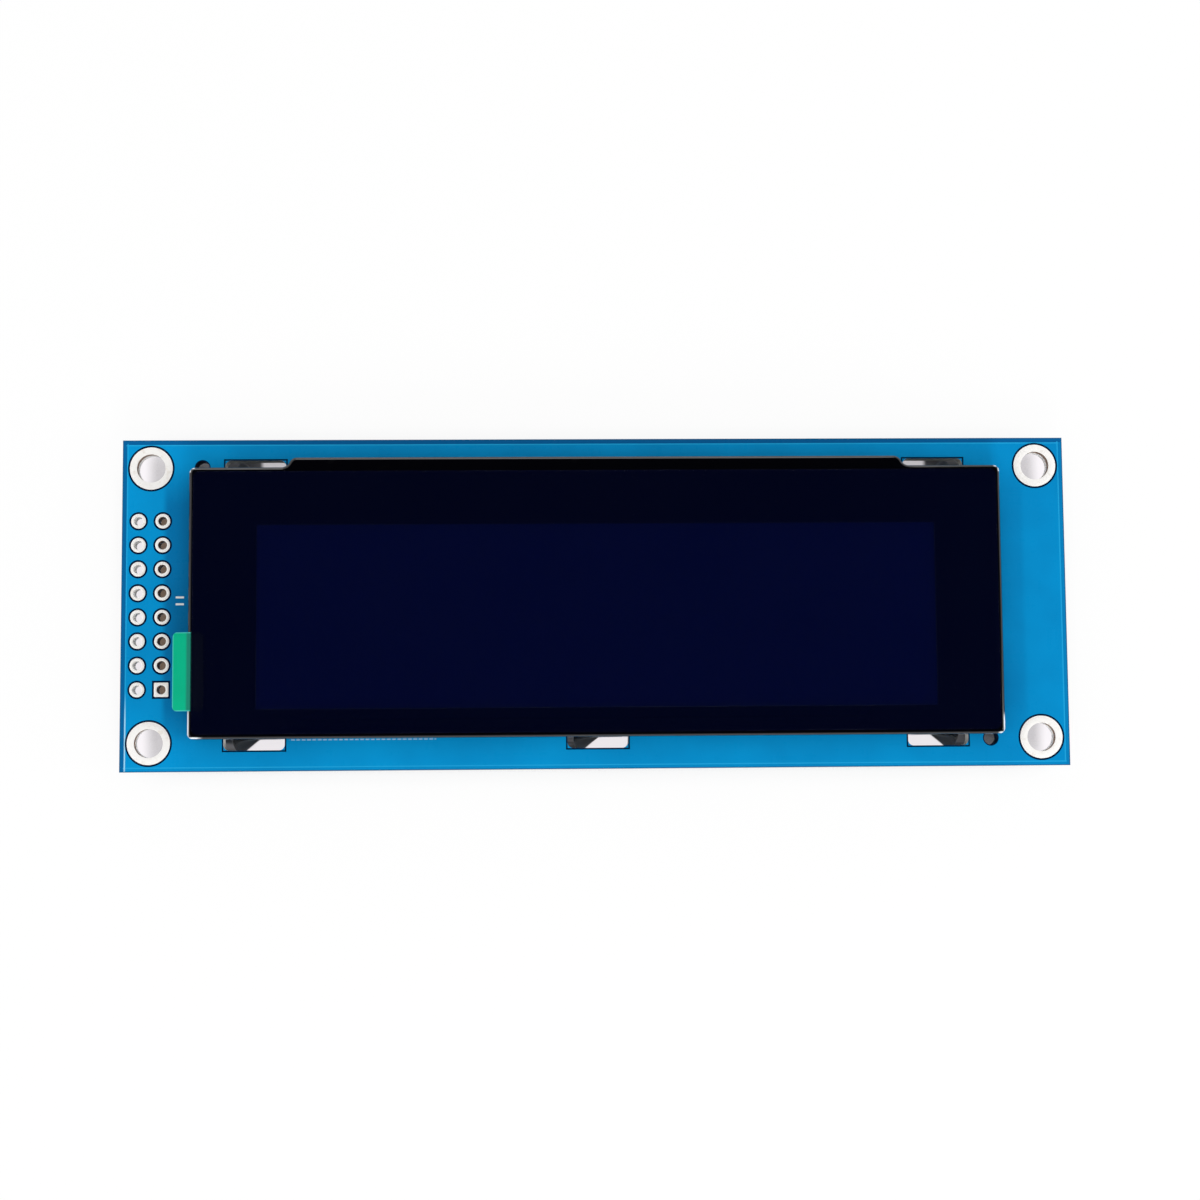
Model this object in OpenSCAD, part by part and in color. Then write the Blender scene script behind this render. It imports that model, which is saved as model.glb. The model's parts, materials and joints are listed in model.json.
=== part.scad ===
// Small passive-matrix OLED display module: a circuit board that carries a glass panel under a
// black formed-steel bezel, with an open 2 x 8 row of header holes at its left end.
// Millimetres. +X runs along the module, +Y across it, +Z out of the display's face.
// The origin is under the middle of the board, at the level of the bezel's tab ends.

/* [Board] */
// Length of board that shows past each end of the bezel
board_end = 7.5; // [6:0.1:15]
// Width of board that shows along each side of the bezel's body
board_side = 3.35; // [2.6:0.05:8]
// Thickness of the board
board_t = 1.6; // [1:0.1:2.4]
// Thickness of the copper pads and of the plating in the holes
copper_t = 0.05; // [0.03:0.01:0.1]
// Diameter of the mounting holes, as plated
mount_hole_d = 3; // [2.2:0.1:3.4]
// Diameter of the tinned ring round each mounting hole
mount_pad_d = 4.5; // [4:0.1:4.8]
// Distance of each mounting hole's centre from both board edges
mount_inset = 3; // [2.6:0.1:3.2]
// Diameter of the two bare tooling holes
tooling_hole_d = 1.45; // [1:0.05:1.8]

/* [Header holes] */
// Pitch of the header holes
pin_pitch = 2.54; // [2:0.01:2.54]
// Number of header rows
pin_rows = 8; // [4:1:8]
// Distance of the outer header column from the board's left edge
pin_edge = 1.73; // [1.5:0.01:1.8]
// Diameter of the header holes, as plated
pin_hole_d = 0.95; // [0.8:0.05:1.1]
// Diameter of a header pad
pin_pad_d = 1.55; // [1.4:0.05:1.6]
// Side of the square pad of pin 1
pin_one_pad = 1.5; // [1.4:0.05:1.6]

/* [Glass panel] */
// Length of both glasses
glass_l = 84; // [80:0.5:85]
// Width of the front glass
glass_w = 26.1; // [24:0.1:27]
// Thickness of the front glass
front_glass_t = 0.7; // [0.5:0.1:1.1]
// Thickness of the rear glass
rear_glass_t = 0.7; // [0.6:0.1:1.1]
// Depth of the recess etched in the rear glass
rear_recess = 0.35; // [0.25:0.05:0.45]
// Strip of the front glass that the rear glass leaves free for the film
bond_ledge = 3.5; // [3:0.1:3.6]
// Thickness of the seal between the glasses
seal_t = 0.05; // [0.03:0.01:0.1]
// Width of the seal
seal_w = 1.2; // [0.8:0.1:1.5]
// Thickness of the drying sheet in the recess
desiccant_t = 0.15; // [0.1:0.05:0.2]
// Distance of the drying sheet from the seal
desiccant_margin = 3; // [1:0.1:5]
// Glass hidden by the bezel at each end of the view area
view_side = 6.6; // [4:0.05:12]
// Glass hidden by the bezel below the view area
view_below = 2.55; // [2:0.05:4]
// Glass hidden by the bezel above the view area
view_above = 4.4; // [4:0.05:8]
// Thickness of the polarizer
polarizer_t = 0.2; // [0.15:0.01:0.3]
// How far the polarizer reaches under the bezel on each side
polarizer_lap = 1; // [0.5:0.1:1.2]

/* [Bezel] */
// Thickness of the bezel's steel
bezel_t = 0.3; // [0.2:0.05:0.4]
// Gap between the glass's edges and the bezel's walls
glass_gap = 0.2; // [0.1:0.05:0.3]
// Outer radius of the bend between the bezel's face and walls
bezel_bend_r = 0.5; // [0.45:0.05:0.7]
// Outer corner radius of the bezel, seen from the front
bezel_corner_r = 0.65; // [0.6:0.05:1.5]
// Room left for the film between the top edges of the glass and the bezel's body
film_room = 1.2; // [1:0.05:1.4]
// Length of each S-curve that leads out to the bulge over the folded film
bulge_ramp = 1.65; // [1.5:0.05:2]
// Gap between the folded film and the bulge
bulge_gap = 0.2; // [0.15:0.05:0.4]
// Gap between the film's side edges and the flat of the bulge
bulge_side_gap = 1.3; // [0.5:0.05:1.4]

/* [Bezel tabs and slots] */
// Width of a bezel tab
tab_w = 5.2; // [4:0.1:5.2]
// How far the tabs reach behind the board
tab_reach = 2; // [1.95:0.05:3]
// Twist that locks a tab behind the board, in degrees
tab_twist = 40; // [20:1:50]
// Distance of the outer tabs' middles from the bezel's ends
tab_inset = 6.5; // [6.1:0.1:6.5]
// Gap between a tab and each end of its slot
slot_end_gap = 0.6; // [0.3:0.05:0.6]
// Width of the slots
slot_w = 2.6; // [2:0.1:3]
// Corner radius of the slots
slot_r = 0.6; // [0.3:0.05:0.8]

/* [Tapes and films] */
// Thickness of the foam tape under the panel
panel_tape_t = 1.35; // [1.2:0.05:1.6]
// Width of the foam tape pads at the panel's two ends
panel_tape_w = 10; // [6:0.5:10.5]
// Width of the foam strip along the panel's lower edge
panel_strip_w = 3; // [2:0.1:3.5]
// Width of the driver film where it is bonded to the glass
film_w = 60; // [50:0.5:60]
// Thickness of the driver film
film_t = 0.1; // [0.06:0.01:0.15]
// How far the film runs straight past the glass before its fold
fold_start = 1.2; // [0.8:0.05:1.4]
// Length of the film's full width behind the panel, from its fold to its shoulders
film_run = 8.5; // [6:0.1:10]
// Length over which the film narrows to its tail
film_taper = 5; // [3:0.1:6]
// Length of the film's tail
tail_run = 6.5; // [4:0.1:7]
// Width of the film's tail
tail_w = 22; // [21.5:0.5:30]
// Pitch of the contacts at the film's tail
film_pad_pitch = 0.7; // [0.5:0.01:0.72]
// Length of the contacts at the film's tail
film_pad_l = 2.2; // [1.5:0.1:3]
// Length of the driver chip
chip_l = 16; // [8:0.5:30]
// Width of the driver chip
chip_w = 1.6; // [1:0.1:2.5]
// Height of the driver chip
chip_h = 0.45; // [0.3:0.05:0.6]
// Thickness of the protective film and of the pull tab
cover_film_t = 0.1; // [0.05:0.01:0.15]
// Distance of the protective film's edges from the bezel's walls
cover_film_inset = 0.5; // [0.5:0.05:1.5]
// Width of the pull tab, along the bezel's end
pull_tab_w = 8.15; // [6:0.05:10]
// How far the pull tab stands past the bezel's end
pull_tab_out = 1.5; // [1:0.1:2]
// How far the pull tab is stuck to the protective film
pull_tab_grip = 1.2; // [0.8:0.1:3]
// Distance of the pull tab from the lower edge of the bezel
pull_tab_low = 2.9; // [2:0.05:6]

/* [Parts on the back] */
// Grid that the places of the parts are counted on
layout_grid = 0.5; // [0.45:0.01:0.65]
// Side of the power inductor
inductor_side = 4; // [3:0.1:4.4]
// Height of the power inductor
inductor_h = 1.8; // [1.2:0.1:1.8]
// Length of a moulded capacitor
tantalum_l = 3.5; // [3:0.1:3.8]
// Width of a moulded capacitor
tantalum_w = 2.8; // [2:0.1:3]
// Height of a moulded capacitor
tantalum_h = 1.8; // [1.2:0.1:1.8]
// Length of a five-lead package's body
package_l = 2.9; // [2.8:0.1:3.1]
// Width of a small package's body
package_w = 1.6; // [1.4:0.1:1.8]
// Height of a small package's body
package_h = 1.1; // [0.9:0.1:1.3]
// Length of the diode's body
diode_l = 2.7; // [2.4:0.1:3]
// Length of a chip capacitor
capacitor_l = 2; // [1.6:0.1:2.2]
// Width and height of a chip capacitor
capacitor_w = 1.25; // [0.8:0.05:1.3]
// Length of a chip resistor
resistor_l = 1.6; // [1.4:0.1:1.8]
// Width of a chip resistor
resistor_w = 0.8; // [0.6:0.05:0.9]
// Height of a chip resistor
resistor_h = 0.45; // [0.35:0.05:0.5]

/* [Hidden] */
$fn = 48;

// Levels, from the surface that the tab ends rest on
board_back_z = tab_reach;
board_top_z = board_back_z + board_t;
rear_glass_z = board_top_z + panel_tape_t;
seal_z = rear_glass_z + rear_glass_t;
front_glass_z = seal_z + seal_t;
polarizer_z = front_glass_z + front_glass_t;
bezel_face_z = polarizer_z + polarizer_t + bezel_t;
cover_film_z = bezel_face_z;
pull_tab_z = cover_film_z + cover_film_t;

// The bezel closes round the glass and the room for the film, and the board reaches past it
bezel_l = glass_l + 2 * (glass_gap + bezel_t);
bezel_w = glass_w + 2 * (glass_gap + bezel_t) + film_room;
board_l = bezel_l + 2 * board_end;
board_w = bezel_w + 2 * board_side;
glass_low_y = -bezel_w / 2 + bezel_t + glass_gap;
glass_top_y = glass_low_y + glass_w;
rear_w = glass_w - bond_ledge;
rear_y = glass_low_y + rear_w / 2;
view_l = glass_l - 2 * view_side;
view_w = glass_w - view_below - view_above;
view_y = glass_low_y + view_below + view_w / 2;

// The film folds down from the back of the front glass to the board
fold_y = glass_top_y + fold_start;
fold_r = (front_glass_z - board_top_z - copper_t) / 2;
film_low_z = board_top_z + copper_t;
bulge_out = fold_y + fold_r + bulge_gap + bezel_t - bezel_w / 2;
bulge_half = film_w / 2 + bulge_side_gap;
// The bulge's S-curve is two equal arcs that meet at half its rise
ramp_angle = 2 * atan(bulge_out / bulge_ramp);
ramp_r = bulge_ramp / (2 * sin(ramp_angle));

// Plan of the driver film's lower run: shoulder, taper and tail
film_shoulder_y = fold_y - film_run;
tail_end_y = film_shoulder_y - film_taper - tail_run;
bond_gap = 0.6;
bond_y = glass_top_y - bond_ledge + bond_gap;

// Contacts at the film's tail
film_pad_count = 30;
film_pad_w = film_pad_pitch / 2;
film_pad_inset = 0.2;

// Bezel tabs: x and side of each
tab_x = bezel_l / 2 - tab_inset;
tab_y = (bezel_w - bezel_t) / 2;
TABS = [[-tab_x, -1], [0, -1], [tab_x, -1], [-tab_x, 1], [tab_x, 1]];
slot_l = tab_w + 2 * slot_end_gap;

// Mounting and header holes
mount_x = board_l / 2 - mount_inset;
mount_y = board_w / 2 - mount_inset;
pin_x = -board_l / 2 + pin_edge;
pin_low_y = -(pin_rows - 1) / 2 * pin_pitch;

// Tooling holes, beside two opposite corners of the bezel
tooling_x = bezel_l / 2 - 0.9;
tooling_y = bezel_w / 2 + 0.4;

// Places on the back: [x, y, turn in degrees], with x and y in steps of the layout grid
INDUCTOR_AT = [-44, 10, 0];
CONVERTER_AT = [-57, 10, 90];
REGULATOR_AT = [40, 8, 0];
DIODE_AT = [-32, 11, 90];
TANTALUMS_AT = [[-18, 10, 90], [28, 8, 90]];
CAPACITORS_AT = [[-57, 1, 0], [-49, 1, 0], [-32, 1, 0], [-6, 10, 90], [0, 10, 90],
    [6, 10, 90], [12, 10, 90], [49, 8, 90]];
RESISTORS_AT = [[-64, 10, 90], [-68, 10, 90], [-18, 0, 0], [-12, 0, 0], [-6, 0, 0], [12, 0, 0],
    [18, 0, 0], [40, 0, 0]];
// The interface links stand in a column, counted from the header's inner holes
links_gap = 5.7;
LINKS_AT = [for (i = [-3:2:3]) [(pin_x + pin_pitch + links_gap) / layout_grid, 2 * i, 0]];

// Terminals of the parts on the back
lead_t = 0.15;
lead_w = 0.4;
lead_out = 0.65;
foot_l = 0.35;
lead_pitch = 0.95;
diode_lead_w = 0.6;
end_pad = 0.55;
tantalum_lead_w = 2.2;

// Points of an arc from angle a0 to a1 in n steps, leaving out the first "skip" of them
function arc(c, r, a0, a1, n, skip = 0) =
    [for (i = [skip:n]) c + r * [cos(a0 + (a1 - a0) * i / n), sin(a0 + (a1 - a0) * i / n)]];

// A list of points mirrored in the Y axis, in reverse order
function mirrored(points) = [for (i = [len(points) - 1:-1:0]) [-points[i][0], points[i][1]]];

// Right half of the bezel's plan, moved inwards by "inset", from its lower to its upper edge
function bezel_half(inset) =
    let(cx = bezel_l / 2 - bezel_corner_r,
        cy = bezel_w / 2 - bezel_corner_r,
        r = bezel_corner_r - inset,
        foot = [bulge_half + bulge_ramp, bezel_w / 2 + ramp_r],
        crown = [bulge_half, bezel_w / 2 + bulge_out - ramp_r])
    concat(arc([cx, -cy], r, -90, 0, 6),
        arc([cx, cy], r, 0, 90, 6),
        arc(foot, ramp_r + inset, -90, -90 - ramp_angle, 6),
        arc(crown, ramp_r - inset, 90 - ramp_angle, 90, 6, 1));

function bezel_plan(inset) =
    let(half = bezel_half(inset)) concat(half, mirrored(half));

// Rings [inset, z] of a pressed shell whose top edge is bent with radius r
function bent_rings(inset, z0, z1, r) =
    concat([[inset, z0]],
        [for (i = [0:5]) [inset + r * (1 - cos(18 * i)), z1 - r + r * sin(18 * i)]]);

// A solid lofted through the bezel's plan at each ring
module lofted(rings) {
    n = len(bezel_plan(0));
    m = len(rings);
    points = [for (ring = rings) for (p = bezel_plan(ring[0])) [p[0], p[1], ring[1]]];
    sides = [for (j = [0:m - 2]) for (i = [0:n - 1])
        [j * n + i, (j + 1) * n + i, (j + 1) * n + (i + 1) % n, j * n + (i + 1) % n]];
    floor_face = [for (i = [0:n - 1]) i];
    top_face = [for (i = [n - 1:-1:0]) (m - 1) * n + i];
    polyhedron(points, concat(sides, [floor_face, top_face]), 10);
}

// A flat rectangle with rounded corners, centred
module rounded_plate(l, w, r) {
    square([l, w - 2 * r], center = true);
    square([l - 2 * r, w], center = true);
    for (sx = [-1, 1], sy = [-1, 1])
        translate([sx * (l / 2 - r), sy * (w / 2 - r)]) circle(r = r);
}

// Puts its children, modelled upright on z = 0, on the pads behind the board
module on_back(at) {
    translate([at[0] * layout_grid, at[1] * layout_grid, board_back_z - copper_t])
        rotate([180, 0, 0]) rotate(at[2]) children();
}

module at_mount_holes() {
    for (sx = [-1, 1], sy = [-1, 1]) translate([sx * mount_x, sy * mount_y, 0]) children();
}

// Plated hole: a barrel through the board with a ring on each face
module plated_hole(hole_d, pad_d) {
    difference() {
        union() {
            translate([0, 0, board_back_z - copper_t])
                cylinder(d = hole_d + 2 * copper_t, h = board_t + 2 * copper_t);
            for (z = [board_back_z - copper_t, board_top_z])
                translate([0, 0, z]) cylinder(d = pad_d, h = copper_t);
        }
        translate([0, 0, board_back_z - 1]) cylinder(d = hole_d, h = board_t + 2);
    }
}

module board() {
    color([0.02, 0.44, 0.70])
    difference() {
        translate([-board_l / 2, -board_w / 2, board_back_z]) cube([board_l, board_w, board_t]);
        translate([0, 0, board_back_z - 1]) {
            at_mount_holes() cylinder(d = mount_hole_d + 2 * copper_t, h = board_t + 2);
            for (col = [0, 1], row = [0:pin_rows - 1])
                translate([pin_x + col * pin_pitch, pin_low_y + row * pin_pitch, 0])
                    cylinder(d = pin_hole_d + 2 * copper_t, h = board_t + 2);
            for (tab = TABS)
                translate([tab[0], tab[1] * tab_y, 0])
                    linear_extrude(board_t + 2) rounded_plate(slot_l, slot_w, slot_r);
            for (s = [-1, 1])
                translate([s * tooling_x, -s * tooling_y, 0])
                    cylinder(d = tooling_hole_d, h = board_t + 2);
        }
    }
}

module mount_plating() {
    color([0.86, 0.86, 0.84]) at_mount_holes() plated_hole(mount_hole_d, mount_pad_d);
}

module header_plating() {
    color([0.86, 0.86, 0.84])
    for (col = [0, 1], row = [0:pin_rows - 1])
        translate([pin_x + col * pin_pitch, pin_low_y + row * pin_pitch, 0])
            if (col == 1 && row == 0) pin_one_hole();
            else plated_hole(pin_hole_d, pin_pad_d);
}

// The hole of pin 1, with its square pads
module pin_one_hole() {
    plated_hole(pin_hole_d, pin_hole_d + 4 * copper_t);
    for (z = [board_back_z - copper_t, board_top_z])
        translate([0, 0, z]) difference() {
            translate([0, 0, copper_t / 2]) cube([pin_one_pad, pin_one_pad, copper_t], center = true);
            translate([0, 0, -1]) cylinder(d = pin_hole_d, h = 2);
        }
}

// Formed steel frame: face with its window, bent walls with the bulge over the folded film,
// and five tabs that pass through the board's slots and are twisted behind it
module bezel() {
    color([0.03, 0.03, 0.05]) {
        difference() {
            lofted(bent_rings(0, board_top_z, bezel_face_z, bezel_bend_r));
            lofted(bent_rings(bezel_t, board_top_z - 1, bezel_face_z - bezel_t,
                bezel_bend_r - bezel_t));
            translate([-view_l / 2, view_y - view_w / 2, bezel_face_z - 1])
                cube([view_l, view_w, 2]);
        }
        for (tab = TABS) translate([tab[0], tab[1] * tab_y, 0]) bezel_tab(tab);
    }
}

// One tab; its outer half turns away from the bezel's middle and out from under it
module bezel_tab(tab) {
    turn = (tab[0] > 0 ? 1 : -1) * tab[1] * tab_twist;
    rotate(turn) linear_extrude(height = board_back_z, twist = turn, slices = 12, segments = 8)
        square([tab_w, bezel_t], center = true);
    translate([-tab_w / 2, -bezel_t / 2, board_back_z])
        cube([tab_w, bezel_t, board_t + panel_tape_t]);
}

// Black adhesive frame between the bezel's face and the front glass, round the polarizer
module bezel_tape() {
    color([0.05, 0.05, 0.05])
    translate([0, 0, polarizer_z]) linear_extrude(polarizer_t)
        difference() {
            translate([-glass_l / 2 + bezel_bend_r, glass_low_y + bezel_bend_r])
                square([glass_l - 2 * bezel_bend_r, glass_w - 2 * bezel_bend_r]);
            translate([0, view_y]) square([view_l + 2 * polarizer_lap + 0.4,
                view_w + 2 * polarizer_lap + 0.4], center = true);
        }
}

module polarizer() {
    color([0.02, 0.03, 0.14])
    translate([0, view_y, polarizer_z + polarizer_t / 2])
        cube([view_l + 2 * polarizer_lap, view_w + 2 * polarizer_lap, polarizer_t], center = true);
}

module front_glass() {
    color([0.55, 0.62, 0.62, 0.6])
    translate([-glass_l / 2, glass_low_y, front_glass_z]) cube([glass_l, glass_w, front_glass_t]);
}

// Epoxy bead that closes the cell all round
module edge_seal() {
    color([0.8, 0.76, 0.6])
    translate([0, rear_y, seal_z]) linear_extrude(seal_t)
        difference() {
            square([glass_l, rear_w], center = true);
            square([glass_l - 2 * seal_w, rear_w - 2 * seal_w], center = true);
        }
}

// Rear glass, etched out over the display area to clear the layers and the drying sheet
module rear_glass() {
    color([0.55, 0.62, 0.62, 0.6])
    translate([0, rear_y, rear_glass_z])
        difference() {
            translate([-glass_l / 2, -rear_w / 2, 0]) cube([glass_l, rear_w, rear_glass_t]);
            translate([0, 0, rear_glass_t - rear_recess]) linear_extrude(rear_recess + 1)
                rounded_plate(glass_l - 2 * seal_w - 1, rear_w - 2 * seal_w - 1, 1);
        }
}

module desiccant_sheet() {
    color([0.92, 0.92, 0.9])
    translate([0, rear_y, seal_z - rear_recess + desiccant_t / 2])
        cube([glass_l - 2 * (seal_w + desiccant_margin), rear_w - 2 * (seal_w + desiccant_margin),
            desiccant_t], center = true);
}

// Double-sided foam between the board and the rear glass: a pad at each end, a strip below
module panel_tape() {
    pad_x = glass_l / 2 - 0.5;
    pad_y = tab_y - slot_w / 2 - 0.4;
    pad_top_y = min(pad_y, glass_low_y + glass_w - bond_ledge);
    color([0.16, 0.16, 0.17])
    translate([0, 0, board_top_z]) {
        for (s = [-1, 1])
            translate([s > 0 ? pad_x - panel_tape_w : -pad_x, -pad_y, 0])
                cube([panel_tape_w, pad_y + pad_top_y, panel_tape_t]);
        translate([-tail_w, -pad_y, 0])
            cube([2 * tail_w, panel_strip_w, panel_tape_t]);
    }
}

// Flexible film: bonded behind the front glass's ledge, folded down behind the panel,
// and narrowed to a tail that is soldered to the board
module driver_film() {
    top_z = front_glass_z - film_t;
    color([0.62, 0.42, 0.12]) {
        translate([-film_w / 2, bond_y, top_z]) cube([film_w, fold_y - bond_y, film_t]);
        translate([-film_w / 2, fold_y, film_low_z + fold_r]) rotate([90, 0, 90])
            linear_extrude(film_w) film_fold();
        translate([0, 0, film_low_z]) linear_extrude(film_t) film_plan();
    }
}

// Half ring in section, open towards the panel
module film_fold() {
    intersection() {
        difference() {
            circle(r = fold_r);
            circle(r = fold_r - film_t);
        }
        translate([0, -2 * fold_r]) square([2 * fold_r, 4 * fold_r]);
    }
}

module film_plan() {
    polygon([[-film_w / 2, fold_y], [-film_w / 2, film_shoulder_y],
        [-tail_w / 2, film_shoulder_y - film_taper], [-tail_w / 2, tail_end_y],
        [tail_w / 2, tail_end_y], [tail_w / 2, film_shoulder_y - film_taper],
        [film_w / 2, film_shoulder_y], [film_w / 2, fold_y]]);
}

module driver_chip() {
    color([0.35, 0.36, 0.4])
    translate([-chip_l / 2, (film_shoulder_y + fold_y) / 2 - chip_w / 2, film_low_z + film_t])
        cube([chip_l, chip_w, chip_h]);
}

// Contacts on the board under the film's tail
module film_pads() {
    color([0.86, 0.86, 0.84])
    for (i = [0:film_pad_count - 1])
        translate([(i - (film_pad_count - 1) / 2) * film_pad_pitch - film_pad_w / 2,
            tail_end_y + film_pad_inset, board_top_z])
            cube([film_pad_w, film_pad_l, copper_t]);
}

module protective_film() {
    l = bezel_l - 2 * cover_film_inset;
    w = bezel_w - 2 * cover_film_inset;
    color([0.1, 0.14, 0.4, 0.25])
    translate([0, 0, cover_film_z]) linear_extrude(cover_film_t) rounded_plate(l, w, 0.6);
}

// Green tab stuck to the protective film's left end, to peel it off
module pull_tab() {
    x0 = -bezel_l / 2 - pull_tab_out;
    l = pull_tab_out + cover_film_inset + pull_tab_grip;
    color([0, 0.7, 0.5, 0.8])
    translate([x0 + l / 2, -bezel_w / 2 + pull_tab_low + pull_tab_w / 2, pull_tab_z])
        linear_extrude(cover_film_t) rounded_plate(l, pull_tab_w, 0.5);
}

// Two tinned pads under the ends of a part with ends "l" apart
module pad_pair(l, w) {
    for (s = [-1, 1])
        translate([s * (l - end_pad) / 2, 0, -copper_t / 2])
            cube([end_pad + 0.5, w, copper_t], center = true);
}

// Pads under the feet of a five-lead package
module package_pads() {
    for (s = [-1, 0, 1], side = [-1, 1])
        if (!(s == 0 && side == 1))
            translate([s * lead_pitch, side * (package_w / 2 + lead_out - foot_l / 2), -copper_t / 2])
                cube([lead_w + 0.15, foot_l + 0.5, copper_t], center = true);
}

module back_pads() {
    color([0.86, 0.86, 0.84]) {
        on_back(INDUCTOR_AT) pad_pair(inductor_side, inductor_side - 0.4);
        on_back(CONVERTER_AT) package_pads();
        on_back(REGULATOR_AT) package_pads();
        on_back(DIODE_AT) pad_pair(diode_l + 2 * lead_out, 0.9);
        for (at = TANTALUMS_AT) on_back(at) pad_pair(tantalum_l + 0.1, tantalum_lead_w + 0.2);
        for (at = CAPACITORS_AT) on_back(at) pad_pair(capacitor_l, capacitor_w);
        for (at = concat(RESISTORS_AT, LINKS_AT)) on_back(at) pad_pair(resistor_l, resistor_w);
    }
}

// Ferrite drum: two square flanges with cut corners on a round post
module inductor_core() {
    flange_t = inductor_h * 0.22;
    color([0.25, 0.25, 0.26]) on_back(INDUCTOR_AT) {
        for (z = [0, inductor_h - flange_t])
            translate([0, 0, z]) linear_extrude(flange_t) cut_square(inductor_side, 0.45);
        translate([0, 0, flange_t])
            cylinder(d = inductor_side * 0.45, h = inductor_h - 2 * flange_t);
    }
}

// A square with its corners cut off by c
module cut_square(side, c) {
    h = side / 2;
    polygon([[-h + c, -h], [h - c, -h], [h, -h + c], [h, h - c],
        [h - c, h], [-h + c, h], [-h, h - c], [-h, -h + c]]);
}

// Filled resin round the winding, between the flanges
module inductor_fill() {
    flange_t = inductor_h * 0.22;
    color([0.42, 0.42, 0.43]) on_back(INDUCTOR_AT) translate([0, 0, flange_t])
        difference() {
            linear_extrude(inductor_h - 2 * flange_t) cut_square(inductor_side - 0.2, 0.8);
            translate([0, 0, -1]) cylinder(d = inductor_side * 0.45, h = inductor_h + 2);
        }
}

// Moulded package body with drafted sides, standing clear of the pads
module moulded_body(l, w, h) {
    low = 0.1;
    waist = h * 0.55;
    draft = 0.08;
    hull() {
        translate([0, 0, waist]) cube([l, w, 0.02], center = true);
        translate([0, 0, h - 0.01]) cube([l - 2 * draft, w - 2 * draft, 0.02], center = true);
        translate([0, 0, low + 0.01]) cube([l - 2 * draft, w - 2 * draft, 0.02], center = true);
    }
}

// Gull-wing lead that leaves a body's side at y = 0 and runs out along +Y to its foot
module gull_lead(w, h) {
    knee = lead_out - foot_l;
    rotate([90, 0, 90]) translate([0, 0, -w / 2]) linear_extrude(w)
        polygon([[0, h], [knee, h], [knee, lead_t], [lead_out, lead_t], [lead_out, 0],
            [knee - lead_t, 0], [knee - lead_t, h - lead_t], [0, h - lead_t]]);
}

// The five leads of a small package, three on one side and two on the other
module package_leads() {
    for (s = [-1, 0, 1])
        translate([s * lead_pitch, -package_w / 2, 0]) rotate(180)
            gull_lead(lead_w, package_h * 0.55 + lead_t / 2);
    for (s = [-1, 1])
        translate([s * lead_pitch, package_w / 2, 0])
            gull_lead(lead_w, package_h * 0.55 + lead_t / 2);
}

module converter_body() {
    color([0.08, 0.08, 0.08]) on_back(CONVERTER_AT) moulded_body(package_l, package_w, package_h);
}

module converter_leads() {
    color([0.75, 0.75, 0.74]) on_back(CONVERTER_AT) package_leads();
}

module regulator_body() {
    color([0.08, 0.08, 0.08]) on_back(REGULATOR_AT) moulded_body(package_l, package_w, package_h);
}

module regulator_leads() {
    color([0.75, 0.75, 0.74]) on_back(REGULATOR_AT) package_leads();
}

module diode_body() {
    color([0.08, 0.08, 0.08]) on_back(DIODE_AT) moulded_body(diode_l, package_w, package_h);
}

module diode_leads() {
    color([0.75, 0.75, 0.74]) on_back(DIODE_AT)
        for (s = [-1, 1])
            translate([s * diode_l / 2, 0, 0]) rotate(-90 * s)
                gull_lead(diode_lead_w, package_h * 0.55 + lead_t / 2);
}

module tantalum_bodies() {
    color([0.85, 0.6, 0.2])
    for (at = TANTALUMS_AT) on_back(at) moulded_body(tantalum_l, tantalum_w, tantalum_h);
}

// Straps folded down the ends of each moulded capacitor and under it
module tantalum_leads() {
    color([0.75, 0.75, 0.74])
    for (at = TANTALUMS_AT, s = [-1, 1]) on_back(at)
        translate([s * tantalum_l / 2, 0, 0]) rotate(-90 * s)
            translate([-tantalum_lead_w / 2, 0, 0]) {
                cube([tantalum_lead_w, 0.1, tantalum_h * 0.55]);
                translate([0, -0.8, 0]) cube([tantalum_lead_w, 0.85, 0.1]);
            }
}

module chip_capacitors() {
    color([0.62, 0.48, 0.32])
    for (at = CAPACITORS_AT) on_back(at)
        translate([0, 0, capacitor_w / 2])
            cube([capacitor_l, capacitor_w, capacitor_w], center = true);
}

module chip_resistors() {
    color([0.1, 0.1, 0.1]) for (at = RESISTORS_AT) on_back(at) chip_resistor();
}

module chip_resistor() {
    translate([0, 0, resistor_h / 2]) cube([resistor_l, resistor_w, resistor_h], center = true);
}

// Zero-ohm links beside the header, which choose the interface
module interface_links() {
    color([0.1, 0.1, 0.1]) for (at = LINKS_AT) on_back(at) chip_resistor();
}

board();
mount_plating();
header_plating();
bezel();
bezel_tape();
polarizer();
front_glass();
edge_seal();
desiccant_sheet();
rear_glass();
panel_tape();
driver_film();
driver_chip();
film_pads();
protective_film();
pull_tab();
back_pads();
inductor_core();
inductor_fill();
converter_body();
converter_leads();
regulator_body();
regulator_leads();
diode_body();
diode_leads();
tantalum_bodies();
tantalum_leads();
chip_capacitors();
chip_resistors();
interface_links();
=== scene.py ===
"""Looks of a small OLED display module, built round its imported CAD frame.

The board, the glass panel and the tapes keep their CAD meshes and get finishes. The bezel, the
tinned holes, the films and the parts on the back are replaced by smoother, finer meshes, each
worked out with numpy as a surface of two parameters. All sizes in the classes are millimetres.
"""
import json
import logging
import math
from dataclasses import dataclass, field
from enum import Enum
from typing import Callable, Sequence

import bpy
import numpy as np
from mathutils import Matrix, Vector


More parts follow.
